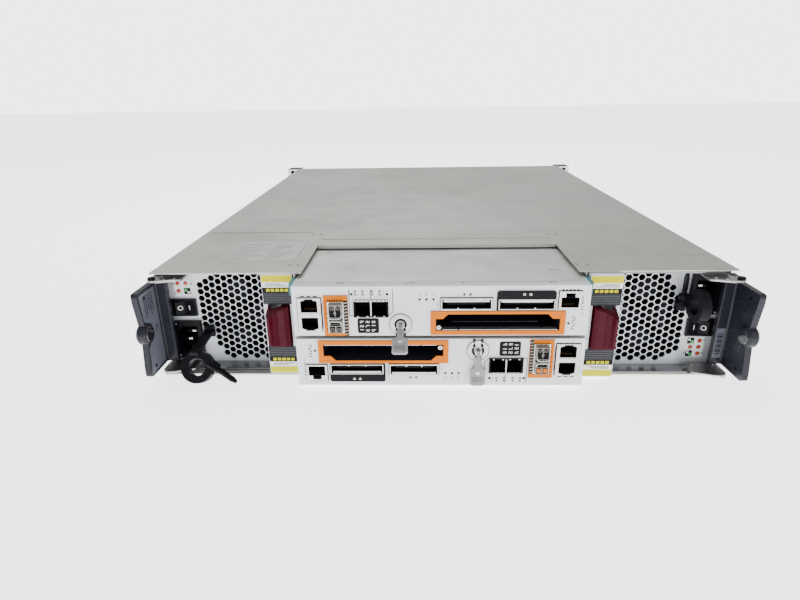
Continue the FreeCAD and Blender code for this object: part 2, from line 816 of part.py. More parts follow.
def pcm_latch_housing(label, place):
    """Flush housing of the release latch, with its upright pivot pin."""
    span = ("pcm_inner", "pcm_inner + latch_width")
    shell = box(left(*span), ("0", "pcm_recess"), (PCM_LOW, PCM_TOP))
    inside = box(left(f"{span[0]} + latch_wall", f"{span[1]} - latch_wall"),
                 ("latch_wall", "pcm_recess + 1"), (f"{PCM_LOW} + latch_wall", f"{PCM_TOP} - latch_wall"))
    middle = "(pcm_inner + latch_width / 2)"
    hole = box(left(f"{middle} - latch_hole_width / 2", f"{middle} + latch_hole_width / 2"),
               ("-1", "latch_wall + 1"),
               (f"{BAY_MIDDLE} - latch_hole_height / 2", f"{BAY_MIDDLE} + latch_hole_height / 2"))
    pin = rod("z", ("-(pcm_inner + handle_pin_in)", "handle_pin_y", f"{PCM_LOW} + latch_wall"),
              "pin_radius", "pcm_height - 2 * latch_wall")
    node(label, group([cut(shell, [inside, hole]), pin]), *place)


def pcm_handle(label, place):
    """Release latch: a hollow-faced ramp for the fingertips, on a knuckle that turns on the
    housing's upright pin."""
    start = "(pcm_inner + latch_width / 2 - handle_width / 2)"
    end = f"({start} + handle_width)"
    pin = "(pcm_inner + handle_pin_in)"
    low = f"{BAY_MIDDLE} - handle_height / 2"
    outline = [
        (f"-({pin} + handle_knuckle)", "handle_pin_y - 1"),
        (f"-({pin} + handle_knuckle * 0.6)", "handle_pin_y + handle_knuckle * 0.8"),
        (f"-({pin} - handle_knuckle * 0.6)", "handle_pin_y + handle_knuckle * 0.8"),
        (f"-({pin} - handle_knuckle)", "handle_pin_y - 1"),
        (f"-({pin} - handle_neck)", "-0.2"), (f"-({pin} - handle_neck)", "-handle_lift"),
        (f"-({start} + 0.3)", "-handle_lift"), (f"-{start}", "-handle_lift * 1.5"),
        (f"-({start} + handle_width * 0.22)", "-handle_reach * 0.42"),
        (f"-({start} + handle_width * 0.5)", "-handle_reach * 0.54"),
        (f"-({start} + handle_width * 0.72)", "-handle_reach * 0.78"),
        (f"-({end} - 2.6)", "-handle_reach"), (f"-({end} - 0.6)", "-handle_reach * 0.96"),
        (f"-{end}", "-handle_reach * 0.8"), (f"-({end} - 0.2)", "-1.4"), (f"-({end} - 2.4)", "-1.4"),
        (f"-({end} - 3.4)", "-handle_reach * 0.45"), (f"-({pin} + handle_knuckle)", "-1.6"),
    ]
    blank = extrude("xy", low, "handle_height", outline)
    bore = rod("z", (f"-{pin}", "handle_pin_y", f"{low} - 1"), "pin_radius + pin_play", "handle_height + 2")
    bevels = []
    for edge, away in ((low, "-1"), (f"{low} + handle_height", "1")):
        bevels.append(extrude("yz", f"-{end} - 1", "handle_width + 2", [
            ("-handle_reach - 1", f"{edge} - ({away}) * handle_bevel"), ("-handle_lift - 1", edge),
            ("-handle_lift - 1", f"{edge} + ({away}) * 1"), ("-handle_reach - 1", f"{edge} + ({away}) * 1"),
        ]))
    node(label, cut(blank, [bore] + bevels), *place)


def pcm_power_entry(label, place):
    """Mains inlet with its three blades, and the frame of the rocker switch above it."""
    edge = "(pcm_outer - pcm_sheet)"
    out, width, lap = "inlet_out", "inlet_width", "frame_lap"
    low, height = "inlet_low", "inlet_height"
    flange_y = ("pcm_recess - inlet_flange", "pcm_recess")
    flange = box(left(f"{edge} - {out} - {width}", f"{edge} - {out}"), flange_y, (low, f"{low} + {height}"))
    barrel = box(left(f"{edge} - {out} - {width} + {lap}", f"{edge} - {out} - {lap}"),
                 ("pcm_recess", "pcm_recess + inlet_depth"), (f"{low} + {lap}", f"{low} + {height} - {lap}"))
    u = f"({edge} - {out} - {width} / 2)"
    w = f"({low} + {height} / 2)"
    a, b, c = "socket_width / 2", "socket_height / 2", "socket_corner"
    outline = [
        (f"-({u} - {a})", f"{w} - {b}"), (f"-({u} - {a})", f"{w} + {b}"),
        (f"-({u} + {a} - {c})", f"{w} + {b}"), (f"-({u} + {a})", f"{w} + {b} - {c}"),
        (f"-({u} + {a})", f"{w} - {b} + {c}"), (f"-({u} + {a} - {c})", f"{w} - {b}"),
    ]
    socket = extrude("xz", f"{flange_y[0]} - 1", "socket_depth + 1", outline)
    blade_y = (f"{flange_y[0]} + blade_recess", f"{flange_y[0]} + socket_depth")
    blades = []
    for across, along in (("-blade_set", "-blade_pitch"), ("blade_set", "0"), ("-blade_set", "blade_pitch")):
        blades.append(box(around(f"-({u} + ({across}))", "blade_width / 2"), blade_y,
                          around(f"{w} + ({along})", "blade_gauge / 2")))
    inlet = join([cut(join([flange, barrel]), [socket])] + blades)
    rim = "switch_rim"
    s_low, s_top = "switch_low", "(switch_low + switch_height)"
    s_in, s_out = f"({edge} - {out} - switch_width)", f"({edge} - {out})"
    plate = box(left(s_in, s_out), ("pcm_recess - switch_lip", "pcm_recess"), (s_low, s_top))
    cup = box(left(f"{s_in} + {lap}", f"{s_out} - {lap}"), ("pcm_recess", "pcm_recess + switch_depth"),
              (f"{s_low} + {lap}", f"{s_top} - {lap}"))
    well = box(left(f"{s_in} + {rim}", f"{s_out} - {rim}"),
               ("pcm_recess - switch_lip - 1", "pcm_recess + switch_depth - switch_rim"),
               (f"{s_low} + {rim}", f"{s_top} - {rim}"))
    axle = rod("z", (f"-({s_in} + switch_width / 2)", "pcm_recess + rocker_pivot", f"{s_low} + {rim}"),
               "pin_radius", f"switch_height - 2 * {rim}")
    node(label, group([inlet, join([cut(join([plate, cup]), [well]), axle])]), *place)


def pcm_rocker(label, place):
    """Rocker of the switch, pressed down at its outer end."""
    edge = "(pcm_outer - pcm_sheet)"
    mid = number(f"{edge} - inlet_out - switch_width / 2")
    half = number("switch_width / 2 - switch_rim - rocker_play - rocker_lean")
    low = number("switch_low + switch_rim + rocker_play")
    high = number("switch_low + switch_height - switch_rim - rocker_play")
    face, back = -number("rocker_pivot + switch_lip"), number("rocker_back")
    horn, dip = face - number("rocker_dip"), face + number("rocker_crown")
    outline = [(-half, horn), (0, dip), (half, horn), (half * 0.9, back), (-half * 0.9, back)]
    wire = Part.makePolygon([Vector(x, y, 0) for x, y in outline + outline[:1]])
    key = Part.Face(wire).extrude(Vector(0, 0, high - low))
    bore = Part.makeCylinder(number("pin_radius + pin_play"), high - low)
    key = key.cut(bore)
    key.rotate(Vector(), Vector(0, 0, 1), number("rocker_tilt"))
    key.translate(Vector(-mid, number("pcm_recess + rocker_pivot"), low))
    node(label, direct(key, "rocker"), *place)


def pcm_wing(label, place):
    """Corner lever, folded in plan round the pin: a side plate pinched at half height, with a
    round boss on its free edge, and a web across the corner."""
    face, gauge = number("wing_face"), number("wing_gauge")
    half, tip = number("wing_half"), -number("wing_tip_y")
    front, back = number("wing_web_y"), number("wing_web_y + wing_web")
    soft = number("wing_round")
    plan = rounded_face([
        (-face, tip, 0), (-face, front, soft / 2), (number("wing_web_width") - face, front, soft / 3),
        (number("wing_web_width") - face, back, soft / 3), (-face - gauge, back, soft),
        (-face - gauge, tip, soft / 2),
    ]).extrude(Vector(0, 0, 2 * half))
    pinch, waist = tip + number("wing_pinch"), number("wing_pinch_half")
    outline = rounded_face([
        (back + 1, -half, 0), (back + 1, half, 0), (tip, half, soft), (pinch, waist, soft),
        (pinch, -waist, soft), (tip, -half, soft),
    ], "yz").extrude(Vector(2 * face, 0, 0))
    outline.translate(Vector(-2 * face, 0, half))
    proud = number("wing_boss_proud")
    boss = Part.makeCylinder(number("wing_boss"), gauge + 2 * proud,
                             Vector(proud - face, -number("wing_boss_y"), half), Vector(-1, 0, 0))
    rims = [edge for edge in boss.Edges if edge.Closed]
    boss = boss.makeChamfer(proud, rims)
    bore = Part.makeCylinder(number("pin_radius + pin_play"), 2 * half + 2,
                             Vector(-number(WING_PIVOT), number("wing_pivot_y"), -1))
    wing = plan.common(outline).fuse(boss).cut(bore).removeSplitter()
    wing.translate(Vector(0, 0, number(f"{BAY_MIDDLE} - wing_half")))
    node(label, direct(wing, "wing"), *place)


def pcm_cord_strap(label, place, ring, swing, tail, tail_turns):
    """Nylon strap that holds a plug's cord: foot on the panel, stem, ring, buckle and tail.
    The ring's middle and the tail's root are points; swing turns the ring about X, or about Y
    where it stands on edge."""
    x, z = -number("strap_place"), number("strap_height")
    panel, width, gauge = number("pcm_recess"), number("strap_width"), number("strap_gauge")
    foot, deep = number("strap_foot"), number("strap_foot_depth")
    radius, hole = number("ring_radius"), number("ring_hole")
    band = Part.makeCylinder(radius, width, Vector(0, 0, -width / 2)).cut(
        Part.makeCylinder(hole, width + 2, Vector(0, 0, -width / 2 - 1)))
    band.rotate(Vector(), Vector(*swing[:3]), swing[3])
    band.translate(ring)
    root = Vector(x, panel - deep, z + foot - gauge)
    lean = Vector(0, ring.y - root.y, ring.z + (radius if swing[0] else 0) - root.z)
    reach = lean.Length - (0 if swing[0] else radius - gauge)
    stem = Part.makeBox(width, reach, gauge, Vector(-width / 2, 0, 0))
    stem.rotate(Vector(), Vector(1, 0, 0), 180 + math.degrees(math.atan2(-lean.z, -lean.y)))
    stem.translate(root)
    base = Part.makeBox(width, deep, foot, Vector(x - width / 2, panel - deep, z))
    length, half, point = number("tail_length"), number("tail_width") / 2, number("tail_point")
    tie = rounded_face([
        (0, -half, 0), (length - point, -half, 0), (length, -half / 4, 0), (length, half / 4, 0),
        (length - point, half, 0), (0, half, 0),
    ]).extrude(Vector(0, 0, number("tail_gauge")))
    side = number("buckle_size")
    buckle = Part.makeBox(side, side, side * 0.7, Vector(-side / 2, -side / 2, -side * 0.35))
    tied = tie.fuse(buckle)
    for axis, angle in tail_turns:
        tied.rotate(Vector(), axis, angle)
    tied.translate(tail)
    node(label, direct(base.fuse([stem, band, tied]).removeSplitter(), "strap"), *place)


def strap_hanging():
    """Pose of the left strap: the ring hangs forward of its foot, open to the front."""
    middle = Vector(-number("strap_place - hang_in"), -number("hang_reach"), number("hang_rise"))
    buckle = middle + Vector(number("ring_radius - 1"), 0, 0)
    turns = ((Vector(0, 1, 0), 30), (Vector(0, 0, 1), -16))
    return middle, (1, 0, 0, SIZES["ring_tilt"]), buckle, turns


def strap_on_edge():
    """Pose of the right strap: the ring stands on edge beside the inlet, its tail upright."""
    middle = Vector(-number("strap_place + edge_out"), -number("edge_reach"), number("edge_rise"))
    buckle = Vector(-number("strap_place"), number("pcm_recess - buckle_size"), number("edge_rise"))
    return middle, (0, 1, 0, 90), buckle, ((Vector(0, 1, 0), 90),)


FAN_START = f"({PANEL_BACK} + fan_gap)"


def fan_middles():
    low = f"({PCM_LOW} + pcm_sheet + fan_size / 2)"
    top = f"({PCM_TOP} - pcm_sheet - fan_size / 2)"
    return low, top


def pcm_fan_frames(label, place):
    """Two square fan frames, each with the strut and shaft that carry its rotor."""
    frames = []
    end = f"({FAN_START} + fan_depth)"
    for middle in fan_middles():
        x, z = around("-fan_middle", "fan_size / 2"), around(middle, "fan_size / 2")
        block = box(x, (FAN_START, end), z)
        bore = rod("y", ("-fan_middle", f"{FAN_START} - 1", middle), "fan_bore", "fan_depth + 2")
        strut = box(x, (f"{end} - fan_strut_gauge", end), around(middle, "fan_strut / 2"))
        shaft = rod("y", ("-fan_middle", f"{FAN_START} + fan_strut", middle), "fan_shaft",
                    "fan_depth - fan_strut - 1")
        frames.append(join([cut(block, [bore]), strut, shaft]))
    node(label, group(frames), *place)


def pcm_fan_rotor(label, place, middle):
    """Faceted hub with one raked blade on each facet."""
    start, length = number(FAN_START), number("fan_hub_depth")
    count = SIZES["fan_blades"]
    turn = 2 * math.pi / count
    rim = [Vector(SIZES["fan_hub"] * math.cos(k * turn), 0, SIZES["fan_hub"] * math.sin(k * turn))
           for k in range(count + 1)]
    hub = Part.Face(Part.makePolygon(rim)).extrude(Vector(0, length, 0))
    flat = SIZES["fan_hub"] * math.cos(turn / 2)
    blades = []
    for k in range(count):
        blade = Part.makeBox(SIZES["fan_tip"] - flat, length - 2, SIZES["fan_blade_gauge"],
                             Vector(flat - 0.2, 1 - length / 2, -SIZES["fan_blade_gauge"] / 2))
        blade.rotate(Vector(), Vector(1, 0, 0), SIZES["fan_rake"])
        blade.translate(Vector(0, length / 2, 0))
        blade.rotate(Vector(), Vector(0, 1, 0), -math.degrees((k + 0.5) * turn))
        blades.append(blade)
    bore = Part.makeCylinder(number("fan_shaft + pin_play"), length + 2, Vector(0, -1, 0), Vector(0, 1, 0))
    rotor = hub.fuse(blades).cut(bore).removeSplitter()
    rotor.translate(Vector(-number("fan_middle"), start + number("fan_lead"), number(middle)))
    node(label, direct(rotor, "rotor"), *place)


def power_module(side, place):
    prefix = f"pcm_{side}_"
    pcm_case(prefix + "case", place)
    pcm_rear_panel(prefix + "rear_panel", place)
    pcm_latch_housing(prefix + "latch_housing", place)
    pcm_handle(prefix + "handle", place)
    pcm_power_entry(prefix + "power_entry", place)
    pcm_rocker(prefix + "rocker", place)
    pcm_wing(prefix + "wing", place)
    pcm_cord_strap(prefix + "cord_strap", place, *(strap_on_edge() if place else strap_hanging()))
    pcm_fan_frames(prefix + "fan_frames", place)
    for name, middle in zip(("a", "b"), fan_middles()):
        pcm_fan_rotor(f"{prefix}fan_rotor_{name}", place, middle)


# ---------------------------------------------------------------- controllers

FACE = ("-node_face", "-node_face + panel_gauge")
HALF_NODE = "node_width / 2"

# Openings of the controller's faceplate; the sheet has each one's left, right, low and top.
PORTS = ("twin_jack", "optical", "sfp", "sas_plain", "sas_framed", "console", "card")


def port(name, grow="0"):
    """The X and Z ranges of a port, widened all round by grow."""
    return ((f"{name}_left - {grow}", f"{name}_right + {grow}"),
            (f"{NODE_LOW} + {name}_low - {grow}", f"{NODE_LOW} + {name}_top + {grow}"))


def inner(name, left_rim, right_rim, low_rim, top_rim):
    """A mouth's X and Z ranges inside a port, by its four rims."""
    return ((f"{name}_left + {left_rim}", f"{name}_right - ({right_rim})"),
            (f"{NODE_LOW} + {name}_low + {low_rim}", f"{NODE_LOW} + {name}_top - ({top_rim})"))


def node_case(label, place):
    """Sheet case of a controller, open where the faceplate closes it."""
    shell = box((f"-{HALF_NODE}", HALF_NODE), (FACE[1], "node_depth"), (NODE_LOW, NODE_TOP))
    inside = box((f"-{HALF_NODE} + node_sheet", f"{HALF_NODE} - node_sheet"),
                 (f"{FACE[1]} - 1", "node_depth - node_sheet"),
                 (f"{NODE_LOW} + node_sheet", f"{NODE_TOP} - node_sheet"))
    node(label, cut(shell, [inside]), *place)


def node_faceplate(label, place):
    """Faceplate with its port openings and the dish round the rod."""
    plate = box((f"-{HALF_NODE}", HALF_NODE), FACE, (NODE_LOW, NODE_TOP))
    holes = []
    for name in PORTS:
        x, z = port(name)
        holes.append(box(x, ("-node_face - 1", f"{FACE[1]} + 1"), z))
    height = f"{NODE_LOW} + dish_rise"
    dish = rod("y", ("-dish_x", "-node_face - dish_proud", height), "dish_radius", "dish_proud")
    guide = rod("y", ("-dish_x", FACE[1], height), "rod_radius + guide_wall", "guide_length")
    bore = rod("y", ("-dish_x", "-node_face - dish_proud - 1", height), "rod_radius + rod_play",
               "guide_length + dish_proud + panel_gauge + 2")
    node(label, cut(join([plate, dish, guide]), holes + [bore]), *place)


def socket_block(name, proud, depth, mouths):
    """A port's shield with its mouths sunk into it."""
    x, z = port(name)
    block = box(x, (f"-node_face - {proud}", f"-node_face + {depth}"), z)
    sunk = (f"-node_face - {proud} - 1", f"-node_face + {depth} - port_back")
    return cut(block, [box(mouth_x, sunk, mouth_z) for mouth_x, mouth_z in mouths])


def node_ethernet_jacks(label, place):
    """Stacked pair of network jacks, latch sides outward, and the single console jack."""
    twin = socket_block("twin_jack", "jack_proud", "jack_depth", [
        inner("twin_jack", "jack_rim", "jack_rim", "jack_split", "jack_lip"),
        inner("twin_jack", "key_rim", "key_rim", "key_split", "key_lip"),
        inner("twin_jack", "jack_rim", "jack_rim", "jack_lip", "jack_split"),
        inner("twin_jack", "key_rim", "key_rim", "key_lip", "key_split"),
    ])
    single = socket_block("console", "jack_proud", "jack_depth", [
        inner("console", "console_rim", "console_rim", "console_lip", "console_head"),
        inner("console", "console_rim + console_step", "console_rim + console_step", "console_lip",
              "console_key_head"),
    ])
    node(label, group([twin, single]), *place)


def node_fibre_cages(label, place):
    """Stacked optical cages with a raised surround, and the twin dark cages beside them."""
    rim = "cage_rim"
    stacked = socket_block("optical", "optical_proud", "cage_length", [
        inner("optical", rim, rim, rim, "optical_split"),
        inner("optical", rim, rim, "optical_split", rim),
    ])
    x, z = port("optical", "collar_width")
    hole_x, hole_z = port("optical")
    collar = cut(box(x, ("-node_face - collar_proud", "-node_face"), z),
                 [box(hole_x, ("-node_face - collar_proud - 1", "0"), hole_z)])
    twin = socket_block("sfp", "sfp_proud", "cage_length", [
        inner("sfp", rim, "sfp_split", rim, rim),
        inner("sfp", "sfp_split", rim, rim, rim),
    ])
    node(label, group([join([stacked, collar]), twin]), *place)


def node_sas_ports(label, place):
    """Two wide disk-expansion connectors, the outer one in a raised dark surround."""
    rim = "cage_rim"
    plain = socket_block("sas_plain", "sas_proud", "cage_length", [inner("sas_plain", rim, rim, rim, rim)])
    framed = socket_block("sas_framed", "framed_proud", "cage_length",
                          [inner("sas_framed", f"2 * {rim}", rim, rim, "framed_head")])
    node(label, group([plain, framed]), *place)


def node_card_bezel(label, place):
    """Frame round the expansion card slot, and the slot's tunnel."""
    x, z = port("card")
    outer_x, _ = port("card", "bezel_border")
    front = "-node_face - card_bezel_proud"
    frame = box(outer_x, (front, "-node_face"), (f"{NODE_LOW} + card_bezel_low", f"{z[1]} + card_bezel_top"))
    tunnel = box(x, ("-node_face", "-node_face + card_depth"), z)
    slot_x, slot_z = port("card", "(-card_wall)")
    slot = box(slot_x, (f"{front} - 1", "-node_face + card_depth - card_wall"), slot_z)
    node(label, cut(join([frame, tunnel]), [slot]), *place)


def node_board(label, place):
    """Main board with heat sink and memory, resting on the case's floor."""
    low = f"({NODE_LOW} + node_sheet)"
    deck = f"({low} + main_board_gauge)"
    half = f"({HALF_NODE} - node_sheet - board_rim)"
    end = "node_depth - node_sheet - board_rim"
    board = box((f"-{half}", half), ("main_board_front", end), (low, deck))
    sink = box(("-sink_left", "-sink_right"), ("sink_front", "sink_front + sink_depth"),
               (deck, f"{deck} + sink_height"))
    memory = []
    for i in range(4):
        start = f"memory_right + {i} * memory_pitch"
        memory.append(box((start, f"{start} + memory_gauge"),
                          ("memory_front", "memory_front + memory_depth"),
                          (deck, f"{deck} + memory_height")))
    plug = box(("-plug_half", "plug_half"), (f"{end} - plug_depth", end), (deck, f"{deck} + plug_height"))
    node(label, join([board, sink, plug] + memory), *place)


def pull_rod(label, side, height):
    """Rod that draws the controller's latch, with an eye for the paddle."""
    x, start = f"{side}dish_x", "-node_face - rod_reach"
    shaft = rod("y", (x, start, height), "rod_radius", "rod_length")
    collar = rod("y", (x, f"{start} + rod_length - rod_collar", height), "rod_radius + guide_wall / 2",
                 "rod_collar")
    slot = box(around(x, "rod_slot / 2"), (f"{start} - 1", f"{start} + rod_eye + rod_slot"),
               around(height, "2 * rod_radius"))
    pin = rod("x", (f"{x} - rod_radius + eye_radius / 2", f"{start} + rod_eye", height), "eye_radius",
              "2 * rod_radius - eye_radius")
    node(label, join([cut(join([shaft, collar]), [slot]), pin]))


def pull_paddle(label, side, height, swing="0"):
    """Flat tag in the rod's eye, hanging or swung forward clear of what slides out below it."""
    x, at = f"{side}dish_x", "(-node_face - rod_reach + rod_eye)"
    foot = f"({height} - paddle_drop)"
    head = f"({foot} + paddle_height)"
    tongue = box(around(x, "(rod_slot / 2 - paddle_play)"), around(at, "paddle_lug"),
                 (f"{height} - paddle_neck", f"{height} + paddle_lug"))
    flank = [
        ("paddle_neck / 2", f"{height} - paddle_neck * 0.8"), ("paddle_neck / 2", f"{head} + paddle_soft"),
        ("paddle_width / 2", f"{head} - paddle_soft / 2"), ("paddle_width / 2", f"{foot} + paddle_soft"),
        ("(paddle_width / 2 - paddle_soft)", foot),
    ]
    outline = [(f"{x} - {half}", z) for half, z in flank] + [(f"{x} + {half}", z) for half, z in flank[::-1]]
    blade = extrude("xz", f"{at} - paddle_gauge / 2", "paddle_gauge", outline)
    eye = rod("x", (f"{x} - rod_radius", at, height), "eye_radius + pin_play", "2 * rod_radius")
    swung = group([cut(join([blade, tongue]), [eye])], label + "_swung")
    swung.Placement = Placement(Vector(), Rotation(Vector(-1, 0, 0), 1))
    bind(swung, "Placement.Rotation.Angle", swing)
    bind(swung, "Placement.Base.y", f"{at} - {at} * cos({swing}) - {height} * sin({swing})")
    bind(swung, "Placement.Base.z", f"{height} + {at} * sin({swing}) - {height} * cos({swing})")
    node(label, swung)


def controller(level, place):
    prefix = f"controller_{level}_"
    node_case(prefix + "case", place)
    node_faceplate(prefix + "faceplate", place)
    node_ethernet_jacks(prefix + "ethernet_jacks", place)
    node_fibre_cages(prefix + "fibre_cages", place)
    node_sas_ports(prefix + "sas_ports", place)
    node_card_bezel(prefix + "card_bezel", place)
    node_board(prefix + "board", place)
    side, height, swing = "-", f"({NODE_LOW} + dish_rise)", "paddle_swing"
    if place:
        side, height, swing = "", f"(2 * {NODE_MIDDLE} - {height})", "0"
    pull_rod(prefix + "rod", side, height)
    pull_paddle(prefix + "paddle", side, height, swing)


# ---------------------------------------------------------------- the whole shelf

chassis_base()
top_cover()
rack_ears()
ear_covers()
drive_cage()
midplane_board()
inner_walls()
for bay in range(SIZES["carrier_count"]):
    drive_carrier(bay)
    carrier_lever(bay)
bay_blanks()
power_module("left", ())
power_module("right", (BAY_MIDDLE, "pcm_pulled"))
controller("upper", ())
controller("lower", (NODE_MIDDLE,))

doc.recompute()

for item in doc.Objects:
    if "Invalid" in item.State or "Error" in item.State:
        raise RuntimeError(f"{item.Label} did not rebuild: {item.State}")
for label, item in NODES.items():
    if item.Shape.isNull() or not item.Shape.isValid() or not item.Shape.Solids:
        raise RuntimeError(f"{label} has no valid solid")

os.makedirs("parts", exist_ok=True)
for label, item in NODES.items():
    item.Shape.exportStep(os.path.join("parts", label + ".step"))
    print(label, len(item.Shape.Solids), round(item.Shape.Volume))
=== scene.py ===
"""Looks of the two-unit disk shelf: finishes, prints, labels, lights and small fasteners.

All lengths are in millimetres and turned into metres by MM.  The frame is the CAD's: X to the
right as seen from the connector side, Y from the connector side to the drives, Z up.
"""
import json
import math

import bmesh
import bpy
from mathutils import Matrix, Vector


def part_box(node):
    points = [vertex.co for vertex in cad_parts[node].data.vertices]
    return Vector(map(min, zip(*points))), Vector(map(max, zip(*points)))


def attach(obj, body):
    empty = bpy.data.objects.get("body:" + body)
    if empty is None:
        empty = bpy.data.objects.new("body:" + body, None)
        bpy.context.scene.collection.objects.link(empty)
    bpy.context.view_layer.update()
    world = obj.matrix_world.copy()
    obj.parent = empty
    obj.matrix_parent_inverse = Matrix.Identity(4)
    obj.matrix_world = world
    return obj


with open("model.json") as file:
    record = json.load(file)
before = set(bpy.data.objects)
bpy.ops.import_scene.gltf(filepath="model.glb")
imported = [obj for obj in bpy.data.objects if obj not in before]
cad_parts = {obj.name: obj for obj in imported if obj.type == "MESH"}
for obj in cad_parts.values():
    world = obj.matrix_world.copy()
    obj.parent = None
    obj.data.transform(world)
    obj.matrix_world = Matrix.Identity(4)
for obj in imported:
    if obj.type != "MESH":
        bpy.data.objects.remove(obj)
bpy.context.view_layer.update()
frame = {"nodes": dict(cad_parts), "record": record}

MM = 0.001
EDGE_SAMPLES = 4
SWING = (0.3, 0.7)  # between these a noise's value lies nearly everywhere


def low(node):
    """Lowest corner of a CAD node, in millimetres."""
    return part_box(node)[0] / MM


def high(node):
    """Highest corner of a CAD node, in millimetres."""
    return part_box(node)[1] / MM


def ends(node):
    """Lowest and highest corner of a CAD node, in millimetres."""
    return low(node), high(node)


def mid(node, axis):
    """Middle of a CAD node along an axis, in millimetres."""
    return (low(node)[axis] + high(node)[axis]) / 2


# ---------------- finishes

class Graph:
    """A material's node tree with short calls for what the finishes share."""

    def __init__(self, name):
        self.material = bpy.data.materials.new(name)
        self.material.use_nodes = True
        self.tree = self.material.node_tree
        self.shader = self.tree.nodes["Principled BSDF"]
        self.link = self.tree.links.new
        place = self.node("TexCoord")
        scale = self.node("VectorMath", {"Scale": 1 / MM}, operation="SCALE")
        self.link(place.outputs["Object"], scale.inputs[0])
        self.place = scale.outputs["Vector"]

    def node(self, kind, inputs=None, **settings):
        """New node with its settings and the values of its inputs."""
        node = self.tree.nodes.new("ShaderNode" + kind)
        for key, value in settings.items():
            setattr(node, key, value)
        for key, value in (inputs or {}).items():
            node.inputs[key].default_value = value
        return node

    def noise(self, size, detail=2.0, stretch=None):
        """Noise whose grains are about size millimetres, after the place is stretched."""
        grains = self.node("TexNoise", {"Scale": 1 / size, "Detail": detail})
        place = self.place
        if stretch:
            stretched = self.node("VectorMath", {1: stretch}, operation="MULTIPLY")
            self.link(place, stretched.inputs[0])
            place = stretched.outputs["Vector"]
        self.link(place, grains.inputs["Vector"])
        return grains.outputs["Fac"]

    def spread(self, value, start, end, to_low, to_high):
        """Value between start and end, spread over the range to_low to to_high."""
        limits = {"From Min": start, "From Max": end, "To Min": to_low, "To Max": to_high}
        node = self.node("MapRange", limits)
        self.link(value, node.inputs["Value"])
        return node.outputs["Result"]

    def mix(self, factor, first, second):
        """Colour between first and second, each a colour or a socket."""
        node = self.node("Mix", data_type="RGBA")
        self.link(factor, node.inputs["Factor"])
        for key, value in (("A", first), ("B", second)):
            socket = [s for s in node.inputs if s.name == key and s.type == "RGBA"][0]
            if isinstance(value, (tuple, list)):
                socket.default_value = (*value[:3], 1)
            else:
                self.link(value, socket)
        return [s for s in node.outputs if s.type == "RGBA"][0]

    def bump(self, height, depth, strength, edge):
        """Bump of depth millimetres; edge rounds the corners' shading by that radius."""
        node = self.node("Bump", {"Strength": strength, "Distance": depth * MM})
        self.link(height, node.inputs["Height"])
        if edge:
            bevel = self.node("Bevel", {"Radius": edge * MM}, samples=EDGE_SAMPLES)
            self.link(bevel.outputs["Normal"], node.inputs["Normal"])
        self.link(node.outputs["Normal"], self.shader.inputs["Normal"])

    def put(self, socket, value):
        """Sets a socket of the shader to a number or colour, or links another socket to it."""
        target = self.shader.inputs[socket]
        if isinstance(value, (int, float)):
            target.default_value = value
        elif isinstance(value, (tuple, list)):
            target.default_value = (*value[:3], 1)
        else:
            self.link(value, target)


def shade(colour, factor):
    """Colour made darker or lighter by a factor."""
    return tuple(min(1.0, c * factor) for c in colour[:3])


def surface(name, colour, rough, blotch, blotch_size, grain, metal=0.0, fine=0.3, stretch=None,
            dent=0.01, edge=0.25, coat=0.0, spec=0.5):
    """General finish: broad unevenness, fine grain, smudged gloss and softly rounded edges."""
    g = Graph(name)
    broad = g.noise(blotch_size, 3.0)
    grains = g.noise(fine, 2.0, stretch)
    base = g.mix(g.spread(broad, *SWING, 0, 1), shade(colour, 1 - blotch), shade(colour, 1 + blotch))
    grained = g.mix(g.spread(grains, 0.35, 0.65, 0, grain * 4), base, shade(colour, 0.75))
    g.put("Base Color", grained)
    g.put("Metallic", metal)
    smudges = g.noise(blotch_size * 0.4, 4.0)
    g.put("Roughness", g.spread(smudges, *SWING, max(0.03, rough - 0.07), min(1.0, rough + 0.09)))
    g.put("Specular IOR Level", spec)
    if coat:
        g.put("Coat Weight", coat)
        g.put("Coat Roughness", 0.15)
    g.bump(grains, dent, 0.6, edge)
    return g.material


def cover_steel():
    """Zinc-plated sheet: warm grey, faintly brushed along X, with dull smears and finger marks."""
    g = Graph("cover_steel")
    broad = g.noise(170, 3.0)
    brushed = g.noise(0.5, 3.0, (0.03, 1.0, 1.0))
    marks = g.noise(34, 6.0)
    base = g.mix(g.spread(broad, *SWING, 0, 1), (0.46, 0.455, 0.42), (0.57, 0.57, 0.54))
    lined = g.mix(g.spread(brushed, 0.35, 0.7, 0, 0.35), base, (0.40, 0.395, 0.37))
    g.put("Base Color", g.mix(g.spread(marks, 0.58, 0.72, 0, 0.35), lined, (0.42, 0.41, 0.37)))
    g.put("Metallic", 0.75)
    g.put("Roughness", g.spread(marks, *SWING, 0.34, 0.52))
    g.bump(brushed, 0.006, 0.5, 0.25)
    return g.material


